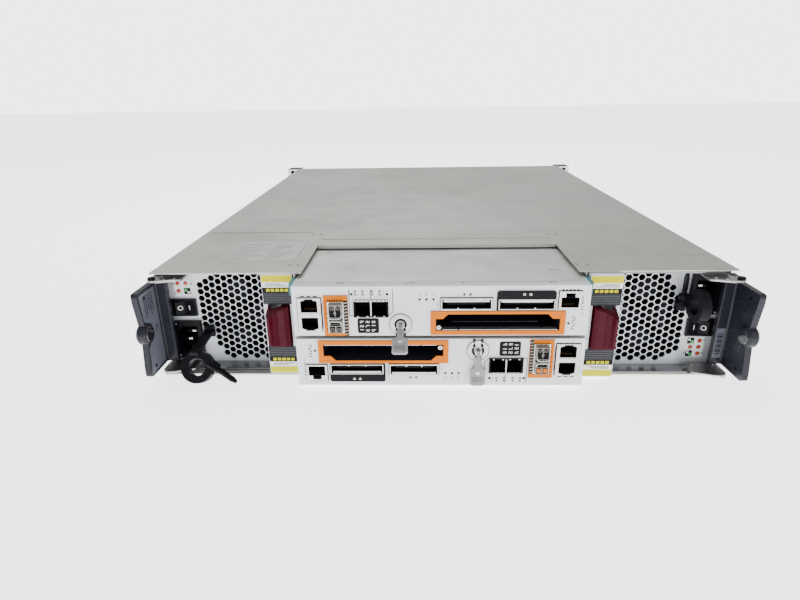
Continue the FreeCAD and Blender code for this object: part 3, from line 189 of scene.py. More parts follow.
# Each surface: name, colour, roughness, blotches and their size in millimetres, grain, and what differs.
FINISH = {
    "cover": cover_steel(),
    "paint": surface("pale_paint", (0.76, 0.785, 0.82), 0.42, 0.03, 45, 0.02),
    "panel": surface("panel_paint", (0.60, 0.63, 0.665), 0.36, 0.05, 30, 0.02, metal=0.3, edge=0.12),
    "bright": surface("bright_steel", (0.66, 0.66, 0.66), 0.30, 0.08, 20, 0.05, metal=0.9, fine=0.4,
        stretch=(0.1, 1, 1)),
    "dark_steel": surface("dark_steel", (0.16, 0.165, 0.17), 0.45, 0.1, 30, 0.05, metal=0.8, fine=0.4),
    "slate": surface("slate_plastic", (0.015, 0.0155, 0.024), 0.30, 0.08, 18, 0.10, fine=0.35, dent=0.03,
        edge=0.5, spec=0.25),
    "black": surface("black_plastic", (0.005, 0.005, 0.007), 0.36, 0.1, 18, 0.06, fine=0.35, dent=0.02,
        edge=0.3, spec=0.1),
    "bezel": surface("dark_bezel", (0.030, 0.031, 0.034), 0.45, 0.1, 18, 0.08, fine=0.35, dent=0.03,
        edge=0.35),
    "maroon": surface("maroon_plastic", (0.058, 0.0012, 0.009), 0.24, 0.12, 14, 0.08, fine=0.4, dent=0.02,
        edge=0.5, spec=0.12),
    "grey": surface("grey_plastic", (0.30, 0.31, 0.33), 0.35, 0.06, 12, 0.05, edge=0.3),
    "shield": surface("port_shield", (0.56, 0.55, 0.525), 0.24, 0.12, 6, 0.06, metal=0.95, edge=0.12),
    "orange": surface("orange_frame", (0.66, 0.165, 0.0), 0.45, 0.05, 14, 0.04, edge=0.3, spec=0.12),
    "case": surface("case_steel", (0.27, 0.27, 0.28), 0.33, 0.12, 40, 0.08, metal=0.9, fine=0.5,
        stretch=(0.06, 1, 1), edge=0.3),
    "plate": surface("zinc_plate", (0.68, 0.69, 0.67), 0.38, 0.07, 70, 0.05, metal=0.7, fine=0.5,
        stretch=(0.04, 1, 1), dent=0.008),
    "module": surface("module_steel", (0.20, 0.19, 0.17), 0.25, 0.15, 3, 0.06, metal=0.9, edge=0.1),
    "label": surface("clear_label", (0.56, 0.56, 0.535), 0.50, 0.03, 12, 0.03, edge=0),
    "board": surface("solder_mask", (0.018, 0.10, 0.045), 0.30, 0.15, 25, 0.10, fine=1.2, edge=0.1),
    "tag": surface("tag_plastic", (0.215, 0.22, 0.232), 0.28, 0.10, 7, 0.05, edge=0.4, coat=0.4),
    # Black of rims, dashes and connector insides, and painted shade where holes, bores, recesses and slots
    # are drawn as dark marks.
    "deep": surface("black_and_hole_shade", (0.006, 0.006, 0.008), 0.6, 0.1, 6, 0.05, fine=0.4, edge=0, spec=0.1),
    # Near-black inside of the open card slot and of what stands in it: painted shade.
    "slot_dark": surface("slot_painted_shade", (0.016, 0.018, 0.028), 0.45, 0.15, 12, 0.08, metal=0.2, fine=0.5,
        edge=0, spec=0.2),
    # Gold darkened into painted shade: the contacts sit deep in the jacks' dark insides.
    "gold": surface("contact_gold_in_painted_shade", (0.30, 0.20, 0.07), 0.4, 0.06, 4, 0.04, metal=0.8, edge=0),
    "clear": surface("lamp_clear", (0.80, 0.81, 0.82), 0.18, 0.06, 3, 0.04, fine=0.2, edge=0, coat=0.5),
    # Dark of prints, seams and unlit lamps, and painted shade in the lid's holes.
    "ink": surface("print_dark_and_hole_shade", (0.016, 0.017, 0.022), 0.50, 0.08, 5, 0.06, fine=0.2, edge=0, spec=0.2),
    # Grey of prints, seams, ribs and ridges, and of the painted shade ring round the pull tag's dish.
    "faint": surface("print_grey_and_rim_shade", (0.075, 0.078, 0.09), 0.48, 0.06, 5, 0.05, fine=0.2, edge=0, spec=0.3),
    "white": surface("print_white", (0.88, 0.88, 0.88), 0.45, 0.03, 5, 0.04, fine=0.2, edge=0),
    "yellow": surface("band_yellow", (0.62, 0.57, 0.0), 0.45, 0.04, 9, 0.04, edge=0.1, spec=0.08),
    "red": surface("lamp_red", (0.55, 0.045, 0.018), 0.18, 0.1, 2, 0.04, fine=0.2, edge=0, coat=0.6),
    "green": surface("lamp_green", (0.02, 0.40, 0.10), 0.18, 0.1, 2, 0.04, fine=0.2, edge=0, coat=0.6),
    "teal": surface("gasket_teal", (0.035, 0.19, 0.21), 0.60, 0.12, 5, 0.08, fine=0.5, edge=0.2),
    "gloss": surface("polished_black", (0.016, 0.016, 0.022), 0.10, 0.1, 8, 0.02, fine=0.4, edge=0.2,
        coat=0.7),
    # Paler plate and label of the levers; the plate's paleness is partly painted light of the lit face.
    "moulded": surface("lever_plate", (0.105, 0.112, 0.142), 0.36, 0.08, 12, 0.05, edge=0),
}


def by_member(groups):
    """Turns {value: "member member"} round, so that each member leads to its value."""
    return {member: value for value, members in groups.items() for member in members.split()}


# Whole names come before the endings that they share.
FINISH_OF = by_member({
    "case": "pcm_left_case pcm_right_case",
    "cover": "chassis_base top_cover drive_cage bay_walls node_shelf",
    "bright": "rack_ear_left rack_ear_right _rod",
    "black": "_power_entry _rocker _cord_strap _fan_frames _fan_rotor_a _fan_rotor_b",
    "shield": "_ethernet_jacks _fibre_cages _sas_ports",
    "paint": "_latch_housing _faceplate", "plate": "_case", "panel": "_rear_panel",
    "maroon": "_handle", "slate": "_wing", "orange": "_card_bezel", "board": "_board",
    "tag": "_paddle", "grey": "_lever_0 _lever_1 _lever_2 _lever_3",
})


def finish_name(node):
    """Finish of a CAD node, by how its name ends.  Drives and covers of the drive side are bezels."""
    return next((finish for ending, finish in FINISH_OF.items() if node.endswith(ending)), "bezel")


for node, item in frame["nodes"].items():
    item.data.materials.clear()
    item.data.materials.append(FINISH[finish_name(node)])


# ---------------- mesh building

# A plane turns (u, v, d) into a point: u and v run along it, and d outward.

def front(y):
    """Faces the connector side at Y = y: u along X, v along Z."""
    return lambda u, v, d: Vector((u, y - d, v))


def rear(y):
    """Faces the drive side at Y = y: u along X, v along Z."""
    return lambda u, v, d: Vector((u, y + d, v))


def top(z):
    """Faces up at Z = z: u along X, v along Y."""
    return lambda u, v, d: Vector((u, v, z + d))


def flank(x):
    """Faces away from the middle at X = x: u along Y, v along Z."""
    return lambda u, v, d: Vector((x + math.copysign(d, x), u, v))


def corners(u, v):
    """Corners of the rectangle over the ranges u and v."""
    return [(u[0], v[0]), (u[1], v[0]), (u[1], v[1]), (u[0], v[1])]


def arc(centre, radius, start, end, count):
    """Points on an arc, angles in degrees."""
    return [(centre[0] + radius * math.cos(math.radians(start + (end - start) * k / count)),
             centre[1] + radius * math.sin(math.radians(start + (end - start) * k / count)))
            for k in range(count + 1)]


def circle(centre, radius, count):
    """Points round a circle."""
    return arc(centre, radius, 0, 360, count)[:-1]


def about(middle, half):
    """Range that reaches half to each side of middle."""
    return middle - half, middle + half


def grown(span, by):
    """Range made longer by as much at both ends, or shorter where by is negative."""
    return span[0] - by, span[1] + by


def rounded(points, radii, count=5):
    """Outline through the points, each corner rounded by its radius."""
    outline = []
    for k, radius in enumerate(radii):
        here = Vector(points[k])
        ways = [(Vector(points[k - 1]) - here).normalized(),
                (Vector(points[(k + 1) % len(points)]) - here).normalized()]
        if not radius:
            outline.append(tuple(here))
            continue
        cut = radius / math.tan(ways[0].angle(ways[1]) / 2)
        start, end = here + ways[0] * cut, here + ways[1] * cut
        for i in range(count + 1):
            t = i / count
            outline.append(tuple(start * (1 - t) ** 2 + here * (2 * t * (1 - t)) + end * t ** 2))
    return outline


class Shape:
    """Closed solids gathered in one mesh, in millimetres."""

    def __init__(self):
        self.mesh = bmesh.new()

    def loop(self, plane, outline, depth):
        """Vertices along an outline of (u, v) points at one depth."""
        return [self.mesh.verts.new(plane(u, v, depth)) for u, v in outline]

    def walls(self, loops):
        """Faces between each loop and the next."""
        for one, two in zip(loops, loops[1:]):
            for k in range(len(one)):
                self.mesh.faces.new((one[k - 1], one[k], two[k], two[k - 1]))

    def closed(self, loops):
        """Solid through the loops, with a face on the first and on the last."""
        self.mesh.faces.new(loops[0])
        self.mesh.faces.new(loops[-1])
        self.walls(loops)

    def prism(self, plane, outline, d):
        """Outline of (u, v) points drawn out over the range d."""
        self.closed([self.loop(plane, outline, end) for end in d])

    def bar(self, plane, u, v, d):
        """Block over the ranges u, v and d."""
        self.prism(plane, corners(u, v), d)

    def disc(self, plane, centre, radius, d, count=20, dome=0.0):
        """Disc with its outer rim softened by dome."""
        levels = [(radius, d[0]), (radius, d[1] - dome)]
        if dome:
            levels.append((radius - dome, d[1]))
        self.closed([self.loop(plane, circle(centre, r, count), depth) for r, depth in levels])

    def band(self, plane, outer, inner, d):
        """Ring between two outlines that have as many points as each other."""
        edges = ((outer, d[0]), (outer, d[1]), (inner, d[1]), (inner, d[0]))
        loops = [self.loop(plane, outline, end) for outline, end in edges]
        self.walls(loops + loops[:1])

    def frame(self, plane, u, v, width, d):
        """Rectangular ring that lies width inside the ranges u and v."""
        self.band(plane, corners(u, v), corners(grown(u, -width), grown(v, -width)), d)

    def ring(self, plane, centre, outer, inner, d, count=32):
        """Round ring between two radii."""
        self.band(plane, circle(centre, outer, count), circle(centre, inner, count), d)

    def wire(self, points, radius, count=8):
        """Round wire along a path of points."""
        path = [Vector(p) for p in points]
        loops, side = [], None
        for k, point in enumerate(path):
            ahead = (path[min(k + 1, len(path) - 1)] - path[max(k - 1, 0)]).normalized()
            side = (side - ahead * side.dot(ahead) if side else ahead.orthogonal()).normalized()
            over = ahead.cross(side)
            loops.append([self.mesh.verts.new(point + (side * math.cos(a) + over * math.sin(a)) * radius)
                          for a in (2 * math.pi * i / count for i in range(count))])
        self.closed(loops)


def placed(name, data):
    """New object of the scene."""
    item = bpy.data.objects.new(name, data)
    bpy.context.scene.collection.objects.link(item)
    return item


class Kit:
    """Small parts that ride on one body: one piece for each group and finish."""

    def __init__(self, body, place=None):
        self.body = body
        self.place = place or Matrix.Identity(4)
        self.shapes = {}

    def part(self, group, finish, bevel=0.0):
        """Shape of a group and finish, started at its first use."""
        return self.shapes.setdefault((group, finish, bevel), Shape())

    def build(self):
        """Makes the pieces, each riding on the body."""
        for (group, finish, bevel), shape in self.shapes.items():
            name = f"{self.body}_{group}_{finish}"
            bmesh.ops.recalc_face_normals(shape.mesh, faces=shape.mesh.faces)
            data = bpy.data.meshes.new(name)
            shape.mesh.to_mesh(data)
            shape.mesh.free()
            data.transform(Matrix.Scale(MM, 4) @ self.place)
            data.materials.append(FINISH[finish])
            item = placed(name, data)
            if bevel:
                edge = item.modifiers.new("edges", "BEVEL")
                edge.width = bevel * MM
                edge.segments = 2
                edge.limit_method = "ANGLE"
            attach(item, self.body)


# ---------------- where the CAD puts things

OPENING = {o["name"]: [Vector(c) / MM for c in o["box_m"]] for o in frame["record"]["physics"]["openings"]}
JOINT = {j["name"]: j for j in frame["record"]["behaviour"]["joints"]}
CLEAR = 0.2  # the stated openings keep this far inside the mouths
PRINT = 0.06  # height of printed marks
INKED = (0, PRINT)
SKIN = 0.3  # gauge of linings
DISH_PROUD = 0.8  # the dish of the pull tag stands this far out of the faceplate
TAG_HALF = 1.1  # half the gauge of the pull tags


def half_turn(one, other, pull=0.0):
    """Places parts modelled on node one over its counterpart, half a turn about Y away."""
    rise = low(one)[2] + high(other)[2]
    return Matrix(((-1, 0, 0, 0), (0, 1, 0, pull), (0, 0, -1, rise), (0, 0, 0, 1)))


CONTROLLERS = {
    "upper": Matrix.Identity(4),
    "lower": half_turn("controller_upper_faceplate", "controller_lower_faceplate"),
}
# Y from the left module's panel to the right one's
PULLED = low("pcm_right_rear_panel")[1] - low("pcm_left_rear_panel")[1]
MODULES = {
    "left": Matrix.Identity(4),
    "right": half_turn("pcm_left_rear_panel", "pcm_right_rear_panel", PULLED),
}


def mouth(name):
    """X and Z ranges of a mouth of the upper controller."""
    near, far = OPENING["upper_" + name]
    return (near[0] - CLEAR, far[0] + CLEAR), (near[2] - CLEAR, far[2] + CLEAR)


def row(shape, plane, start, step, count, length, v, d=INKED):
    """Bars side by side along u, each of them length long and a step from the last."""
    for k in range(count):
        u = start + k * step
        shape.bar(plane, (u, u + length), v, d)


def column(shape, plane, u, start, step, count, height, d=INKED):
    """Bars one above the other along v, each of them height high and a step from the last."""
    for k in range(count):
        v = start + k * step
        shape.bar(plane, u, (v, v + height), d)


# ---------------- controllers

PLATE = low("controller_upper_faceplate")
JACKS = low("controller_upper_ethernet_jacks")
CAGES = low("controller_upper_fibre_cages")
PORTS = low("controller_upper_sas_ports")
CASE = ends("controller_upper_case")
FACE_Y = PLATE[1] + DISH_PROUD
FACE = front(FACE_Y)
JACK_FACE = front(JACKS[1])
CAGE_FACE = front(CAGES[1])
SAS_FACE = front(PORTS[1])
BEZEL_FACE = front(low("controller_upper_card_bezel")[1])
SFP_BACK = 1.0  # the twin cages end this far behind the optical pair
FRAMED_BACK = 0.5  # the framed connector ends this far behind the plain one
ROD_X = mid("controller_upper_rod", 0)
ROD_Z = mid("controller_upper_rod", 2)
SEAM = 0.6  # width of the dark seams
JACK_RIM = 1.6  # metal round a jack's mouth
JACK_DEPTH, SFP_DEPTH, PORT_DEPTH, CARD_DEPTH = 15.0, 18.0, 18.0, 29.0
CONTACTS, CONTACT_PITCH = 8, 1.15
MODULE_PROUD = 3.4  # the optical modules stand this far out of their cages
FRAME_PROUD = 1.1
COLUMN_FOOT = 62.0  # Z of the column of small marks on the right
GASKET_END = 19.8  # the gaskets stop just short of the bay walls
ARCH_POINTS = 12


def seam(kit, u, v):
    """Dark seam where a connector comes through the faceplate."""
    kit.part("seams", "ink").frame(FACE, grown(u, 0.55), grown(v, 0.55), SEAM, (-0.2, PRINT))


def lining(kit, name, plane, deep, finish="deep"):
    """Dark skin on the walls and the back of a mouth: partly the mouth's own black, partly painted shade of
    its depth.
    """
    u, v = (grown(span, 0.1) for span in mouth(name))
    skin = kit.part("linings", finish)
    skin.frame(plane, u, v, SKIN, (-deep, -0.25))
    skin.bar(plane, u, v, (-deep, SKIN - deep))


def network_jacks(kit):
    """Contacts, lamps and marks of the stacked pair and of the console jack."""
    foot, head = mouth("network_jack_lower")[1], mouth("network_jack_upper")[1]
    left, right = JACKS[0], mouth("network_jack_upper")[0][1] + 2.5
    gold = kit.part("jack_contacts", "gold")
    lamps = kit.part("jack_lamps", "clear", 0.2)
    marks = kit.part("jack_marks", "ink")
    for name, out in (("network_jack_upper", 1), ("network_jack_lower", -1), ("console_jack", 1)):
        u, v = mouth(name)
        lining(kit, name, JACK_FACE, JACK_DEPTH)
        inner, outer = v[::out]
        # The contacts' gold is darkened as painted shade.
        for k in range(CONTACTS):
            x = (u[0] + u[1]) / 2 + (k - (CONTACTS - 1) / 2) * CONTACT_PITCH
            gold.bar(JACK_FACE, about(x, 0.22), sorted((inner + out * 0.4, inner + out * 1.1)), (-11, -5.0))
        if name == "console_jack":
            continue
        edge = outer - out * 0.6
        for x in (left + 1.1, right - 3.8):
            lamps.bar(JACK_FACE, (x, x + 2.7), sorted((edge, edge + out * 1.9)), (-1.0, 0.25))
    seam(kit, (left, right), (foot[0] - JACK_RIM, head[1] + JACK_RIM))
    u, v = mouth("console_jack")
    seam(kit, grown(u, JACK_RIM), (v[0] - 1.2, v[1] + 4.6))
    bridge = (foot[1] + 0.5, head[0] - 0.5)
    kit.part("jack_bridge", "shield", 0.1).bar(JACK_FACE, (left + 0.4, right - 0.4), bridge, (0, 0.35))
    crown = head[1] + JACK_RIM
    row(marks, FACE, left + 2.6, 4.6, 3, 3.0, (crown + 0.8, crown + 1.7))
    row(marks, FACE, u[0] + 0.2, 2.6, 5, 1.6, (v[1] + 5.1, v[1] + 5.8))
    kit.part("jack_edge", "maroon").bar(FACE, (right + 0.05, right + 0.9), (v[0] - 16, v[0] + 4), (0, 0.5))
    for k, size in enumerate((1.0, 1.6, 1.0, 2.0, 1.3, 1.0)):
        z = COLUMN_FOOT + k * 2.4
        kit.part("prints", "faint").bar(FACE, (u[1] + 2.6, u[1] + 3.3), (z, z + size), INKED)


def arch(x, half, foot, head, out):
    """Doorway outline whose round end points away by out."""
    flat, crown = (foot, head)[::out]
    start = 0 if out > 0 else 180
    return [(x - out * half, flat), (x + out * half, flat)] + arc(
        (x, crown - out * half), half, start, start + 180, ARCH_POINTS)


def optical_modules(kit, tall, plugged):
    """Two optical modules, sole to sole: twin bores in each, drawn as dark arches of painted shade, and the
    wire bails between them.
    The module named tall shows its whole bores, and the plugged one has its dust plug in."""
    plane, reach = CAGE_FACE, MODULE_PROUD
    body = kit.part("optical_modules", "module", 0.2)
    dark = kit.part("optical_bores", "deep")
    bails = kit.part("optical_bails", "bright")
    for name, out in (("optical_upper", 1), ("optical_lower", -1)):
        u, v = mouth(name)
        middle = (u[0] + u[1]) / 2
        sole, crown = v[::out]
        body.frame(plane, grown(u, -0.15), grown(v, -0.15), 0.7, (-6.0, reach))
        body.bar(plane, grown(u, -0.5), grown(v, -0.5), (-6.0, reach - 0.6))
        length = 8.6 if name == tall else 4.4
        bores = kit.part("optical_plugs", "orange", 0.15) if plugged and name != tall else dark
        for x in about(middle, 2.35):
            span = sorted((crown - out * 0.9, crown - out * (0.9 + length)))
            # Painted shade: each bore is a dark arch, not cut.
            dark.prism(plane, arch(x, 1.95, *span, out), (0, reach - 0.52))
            if bores is not dark:
                bores.prism(plane, arch(x, 1.45, *grown(span, -0.5), out), (0, reach + 0.1))
            else:
                body.ring(plane, (x, crown - out * 3.0), 1.25, 0.8, (reach - 0.6, reach - 0.3), 20)
        if name == tall:
            z = crown - out * 4.6
            for a in (-1, 1):
                body.prism(plane, [(middle - 0.5, z - 1.6 * a), (middle - 1.5, z - 2.6 * a),
                                   (middle + 0.5, z + 1.6 * a), (middle + 1.5, z + 2.6 * a)],
                           (0, reach + 0.2))
        else:
            for k in range(3):
                z = sole + out * (0.9 + 1.5 * k)
                dark.bar(plane, about(middle, 3.6), about(z, 0.4), (0, reach + PRINT))
        half = [(1, 0.5, 3.2), (1, 3.9, 3.0), (1, 4.9, 1.4), (0.86, 5.2, 0.6), (0.5, 5.3, 0.2)]
        path = [(-side, d, rise) for side, d, rise in half] + half[::-1]
        bails.wire([plane(middle + side * 4.3, sole + out * rise, d) for side, d, rise in path], 0.42)


def optical_frame(kit):
    """Orange frame round the optical pair, with its dashes and the spring fingers on the right."""
    rim = 3.0
    head = mouth("optical_upper")[1][1] + 1.0
    u = (CAGES[0], mouth("optical_upper")[0][1] + 1.0 + rim)
    v = (CAGES[2], head + 4.4)
    hole_u, hole_v = grown(u, -rim), (v[0] + rim, head)
    kit.part("optical_frame", "orange", 0.2).band(
        FACE, corners(u, v), corners(hole_u, hole_v), (0, FRAME_PROUD))
    marks = kit.part("optical_marks", "deep")
    raised = (1.0, FRAME_PROUD + PRINT)
    row(marks, FACE, u[0] + 2.6, 1.8, 7, 1.0, (head + 0.5, head + 1.4), raised)
    column(marks, FACE, (hole_u[0] - 1.1, hole_u[0] - 0.4), v[0] + 5.0, 4.2, 6, 1.3, raised)
    marks.bar(FACE, (hole_u[1] + 0.1, u[1] - 0.2), (v[0] + 0.3, head + 0.6), (1.0, 1.15))
    fingers = kit.part("optical_fingers", "module", 0.1)
    for k in range(11):
        z = v[0] + 1.0 + k * 2.45
        fingers.prism(FACE, [(hole_u[1] + 0.2, z), (u[1] - 0.4, z + 0.5), (u[1] - 0.4, z + 1.7),
                             (hole_u[1] + 0.2, z + 1.2)], (1.0, 1.75))


def sfp_pair(kit):
    """Twin dark cages with bright dashes over them, inside their printed outline."""
    left, v = mouth("sfp_left")
    right = mouth("sfp_right")[0]
    plane = front(CAGES[1] + SFP_BACK)
    for name in ("sfp_left", "sfp_right"):
        lining(kit, name, plane, SFP_DEPTH)
    dark = kit.part("sfp_rim", "deep")
    rim = 1.05
    for u in ((left[0] - rim, left[0]), (right[1], right[1] + rim)):
        dark.bar(plane, u, (v[0] - rim, v[1] + 0.3), (-0.5, 0.12))
    dark.bar(plane, (left[0] - rim, right[1] + rim), (v[0] - rim, v[0]), (-0.5, 0.12))
    row(dark, plane, left[0] + 0.4, 3.05, 8, 1.1, (v[1] + 0.3, v[1] + 0.95), (-0.5, 0.1))
    tabs = kit.part("sfp_tabs", "shield", 0.1)
    for u in (left, right):
        for x in (u[0] + 1.6, u[1] - 2.8):
            tabs.bar(plane, (x, x + 1.2), (v[0] - 0.6, v[0] + 0.3), (-0.2, 0.5))
    line, cut = 0.6, 3.4
    u = (left[0] - 4.3, right[1] + 4.5)
    w = (v[0] - 0.6, v[1] + 9.2)
    outer = [(u[0], w[1]), (u[0], w[0]), (u[1] - cut, w[0]), (u[1], w[0] + cut), (u[1], w[1])]
    inner = [(u[0] + line, w[1]), (u[0] + line, w[0] + line), (u[1] - cut - 0.4 * line, w[0] + line),
             (u[1] - line, w[0] + cut + 0.4 * line), (u[1] - line, w[1])]
    faint, ink = kit.part("prints", "faint"), kit.part("prints", "ink")
    faint.prism(FACE, outer + inner[::-1], INKED)
    middle = (left[1] + right[0]) / 2
    faint.bar(FACE, about(middle, line / 2), (v[1] + 1.6, w[1]), INKED)
    for x in (-11.2, -5.8, 1.0, 6.5):
        ink.disc(FACE, (middle + x, w[1] - 1.6), 0.75, INKED)
        faint.ring(FACE, (middle + x, w[1] - 4.0), 1.1, 0.45, INKED, 16)
    for x in (-14.0, 11.9):
        ink.disc(FACE, (middle + x, w[1] - 3.9), 1.05, INKED)
    for x in (-15.6, 9.6):
        for rise in (1.6, 3.0, 4.4):
            faint.bar(FACE, (middle + x - 0.7, middle + x + 0.5), about(w[1] - rise, 0.2), INKED)


NUMERALS = {1: "bc", 2: "abged", 4: "fgbc", 7: "abc", 8: "abcdefg"}


def digit(shape, plane, corner, size, segments):
    """Seven-segment numeral that reads from below upward."""
    width, height, line = size * 0.55, size, size * 0.16
    sides, halves = ((0, line), (width - line, width)), ((0, height / 2), (height / 2, height))
    bars = {
        "a": ((0, width), (height - line, height)), "d": ((0, width), (0, line)),
        "g": ((0, width), about(height / 2, line / 2)), "f": (sides[0], halves[1]),
        "e": (sides[0], halves[0]), "b": (sides[1], halves[1]), "c": (sides[1], halves[0]),
    }
    for key in segments:
        (a, b), (c, d) = bars[key]
        shape.bar(plane, (corner[0] - d, corner[0] - c), (corner[1] + a, corner[1] + b), (0, PRINT * 2))


def number_tag(kit):
    """Dark rounded tag under the twin cages, with plain numbers."""
    gauge = 0.12
    right, foot = mouth("sfp_right")[0][0], mouth("sfp_left")[1][0]
    u, v = (mouth("sfp_left")[0][0] + 1.4, right + 5.0), (foot - 14.2, foot - 2.2)
    kit.part("number_tag", "black").prism(FACE, rounded(corners(u, v), (1.6,) * 4), (0, gauge))
    marks = kit.part("number_tag", "white")
    plane = front(FACE_Y - gauge)
    for i, numbers in enumerate(((1, 2, 4), (8, 7, 2), (4, 1, 8))):
        for k, value in enumerate(numbers):
            digit(marks, plane, (u[0] + 4.6 + i * 4.3, v[0] + 1.5 + k * 3.4), 2.8, NUMERALS[value])


def disk_ports(kit, rings):
    """Tongues, bars and marks of the two disk-expansion connectors."""
    lining(kit, "sas_plain", SAS_FACE, PORT_DEPTH)
    framed = front(PORTS[1] + FRAMED_BACK)
    lining(kit, "sas_framed", framed, PORT_DEPTH)
    bright = kit.part("disk_port_bars", "bright", 0.1)
    dark = kit.part("disk_port_tongues", "black", 0.2)
    dots = kit.part("disk_port_dots", "white")
    plain_u, plain_v = mouth("sas_plain")
    seam(kit, grown(plain_u, 1.0), grown(plain_v, 1.0))
    for name, plane in (("sas_plain", SAS_FACE), ("sas_framed", framed)):
        u, v = mouth(name)
        bright.bar(plane, grown(u, -1.2), (v[1] - 1.7, v[1] - 0.3), (-1.2, 0.1))
        dark.bar(plane, grown(u, -3.5), (v[0] + 2.3, v[0] + 3.7), (-17.0, -3.0))
        for share in (0.33, 0.66):
            dots.disc(plane, (u[0] + (u[1] - u[0]) * share, v[0] + 0.3), 0.55, (-0.8, 0.15))
    u, v = mouth("sas_framed")
    line_u, line_v = grown(u, 0.7), grown(v, 0.6)
    left, right, crown, cut = u[0] - 2.1, u[1] + 1.1, v[1] + 7.1, 1.1
    depth = (-0.5, 0.5)
    surround = kit.part("disk_port_surround", "black", 0.15)
    surround.prism(framed, [(left, line_v[1]), (left, crown - cut), (left + cut, crown), (right - cut, crown),
                            (right, crown - cut), (right, line_v[1])], depth)
    for side in ((left, line_u[0]), (line_u[1], right)):
        surround.bar(framed, side, (v[0] - 1.1, line_v[1]), depth)
    surround.bar(framed, line_u, (v[0] - 1.1, line_v[0]), depth)
    kit.part("disk_port_outline", "shield").band(
        framed, corners(line_u, line_v), corners(grown(u, -0.02), grown(v, -0.02)), (-0.5, 0.62))
    plane = front(PORTS[1] + FRAMED_BACK - 0.5)
    z = v[1] + 4.5
    for x in about((u[0] + u[1]) / 2, 2.2):
        if rings:
            dots.ring(plane, (x, z), 1.0, 0.6, INKED, 20)
        else:
            dots.band(plane, [(x - 1.2, z + 0.9), (x + 1.2, z + 0.9), (x, z - 1.1)],
                      [(x - 0.6, z + 0.55), (x + 0.6, z + 0.55), (x, z - 0.45)], INKED)
    for x in (16.0, 20.4):
        kit.part("prints", "faint").disc(FACE, (plain_u[0] + x, plain_v[1] + 3.6), 1.0, INKED)
    kit.part("prints", "ink").bar(
        FACE, (plain_u[0] - 3.4, plain_u[0] - 3.0), (plain_v[0] + 1.6, plain_v[0] + 4.6), INKED)


def status_lamps(kit):
    """Three small dark lamps, each with three small triangles over it."""
    left = mouth("card_slot")[0][0]
    z = mouth("sas_plain")[1][1]
    ink = kit.part("prints", "ink")
    for k, x in enumerate((left - 11.8, left - 6.8, left - 1.8)):
        ink.disc(FACE, (x, z - 0.1), 0.95, INKED)
        for i in range(3):
            turn = math.radians(120 * i + 30 * k)
            a, b = 0.5 * math.cos(turn), 0.5 * math.sin(turn)
            ink.prism(FACE, [(x + a - b, z + 3.7 + b + a), (x + a + b, z + 3.7 + b - a),
                             (x + 3.0 * a, z + 3.7 + 3.0 * b)], INKED)


def card_slot(kit):
    """Gussets, screw and inside of the expansion card's slot, the inside darkened as painted shade."""
    plane = BEZEL_FACE
    u, v = mouth("card_slot")
    # Painted shade lines the card slot's walls and back.
    lining(kit, "card_slot", plane, CARD_DEPTH, "slot_dark")
    gusset = kit.part("card_gussets", "orange", 0.15)
    shelf, drop, slope, lap = 5.2, 3.75, 3.75, 0.4
    for side, x in ((1, u[0]), (-1, u[1])):
        gusset.prism(plane, [
            (x - side * lap, v[1] + lap), (x - side * lap, v[1] - drop), (x + side * shelf, v[1] - drop),
            (x + side * (shelf + slope), v[1]), (x + side * (shelf + slope), v[1] + lap)], (-1.4, -0.05))
    at = (u[0] + 2.2, v[0] + 2.4)
    kit.part("card_screw", "bright", 0.15).disc(plane, at, 1.9, (-1.6, 0.2), 20, 0.4)
    # Painted shade: the screw's cross recess is a dark cross laid on its head.
    for a, b in ((1.1, 0.2), (0.2, 1.1)):
        kit.part("card_screw", "deep").bar(plane, about(at[0], a), about(at[1], b), (0.15, 0.24))
    sill = kit.part("card_sill", "bright", 0.1)
    for span in ((u[0] + 5.0, u[0] + 16.0), (u[0] + 17.2, u[1] - 1.0)):
        sill.bar(plane, span, (v[0] - 0.1, v[0] + 0.7), (-6.0, -0.6))
    # Painted shade: the parts deep in the slot share the slot's dark.
    inside = kit.part("card_inside", "slot_dark")
    inside.bar(plane, (u[0] + 12, u[1] - 14), (v[0] + 3.0, v[0] + 3.8), (-27, -9))
    row(inside, plane, u[0] + 18, 6.2, 9, 0.5, grown(v, -1.0), (-28, -20))
    edge = high("controller_upper_card_bezel")[0]
    ink = kit.part("prints", "ink")
    ink.prism(FACE, [(edge + 1.0, v[0] + 5.2), (edge + 3.4, v[0] + 3.9), (edge + 3.4, v[0] + 6.5)], INKED)
    for k in range(5):
        z = v[0] + 0.4 + k * 2.3
        shift = 1.6 * (k % 2)
        ink.bar(FACE, (edge + 5.0, edge + 7.2), (z, z + 0.6), INKED)
        ink.bar(FACE, (edge + 5.0 + shift, edge + 5.6 + shift), (z + 0.6, z + 1.6), INKED)


def dish(kit):
    """Rim of the dish, with a dark ring of painted shade over its side wall, and the dark keyhole that the
    rod comes out of, drawn as painted shade with the slots beside the rod.
    """
    plane = front(PLATE[1])
    centre = (ROD_X, ROD_Z)
    # Painted shade: the dark ring over the dish's side wall.
    kit.part("dish_rim", "faint").ring(plane, centre, 8.4, 8.0, (-DISH_PROUD, 0.12), 48)
    kit.part("dish_lip", "shield").ring(plane, centre, 7.2, 6.5, (-0.1, 0.15), 48)
    outer, inner = 4.7, 3.0
    # Painted shade: the keyhole and the slots beside the rod are dark marks, not cut.
    dark = kit.part("keyhole", "deep")
    dark.prism(plane, arc(centre, outer, -35, 215, 28) + arc(centre, inner, 215, -35, 20), (-0.3, 0.05))
    for side in (-1, 1):
        dark.bar(plane, sorted((ROD_X + side * 2.0, ROD_X + side * 3.85)), (PLATE[2] + 0.1, ROD_Z - 2.6),
                 (-DISH_PROUD, 0.05))


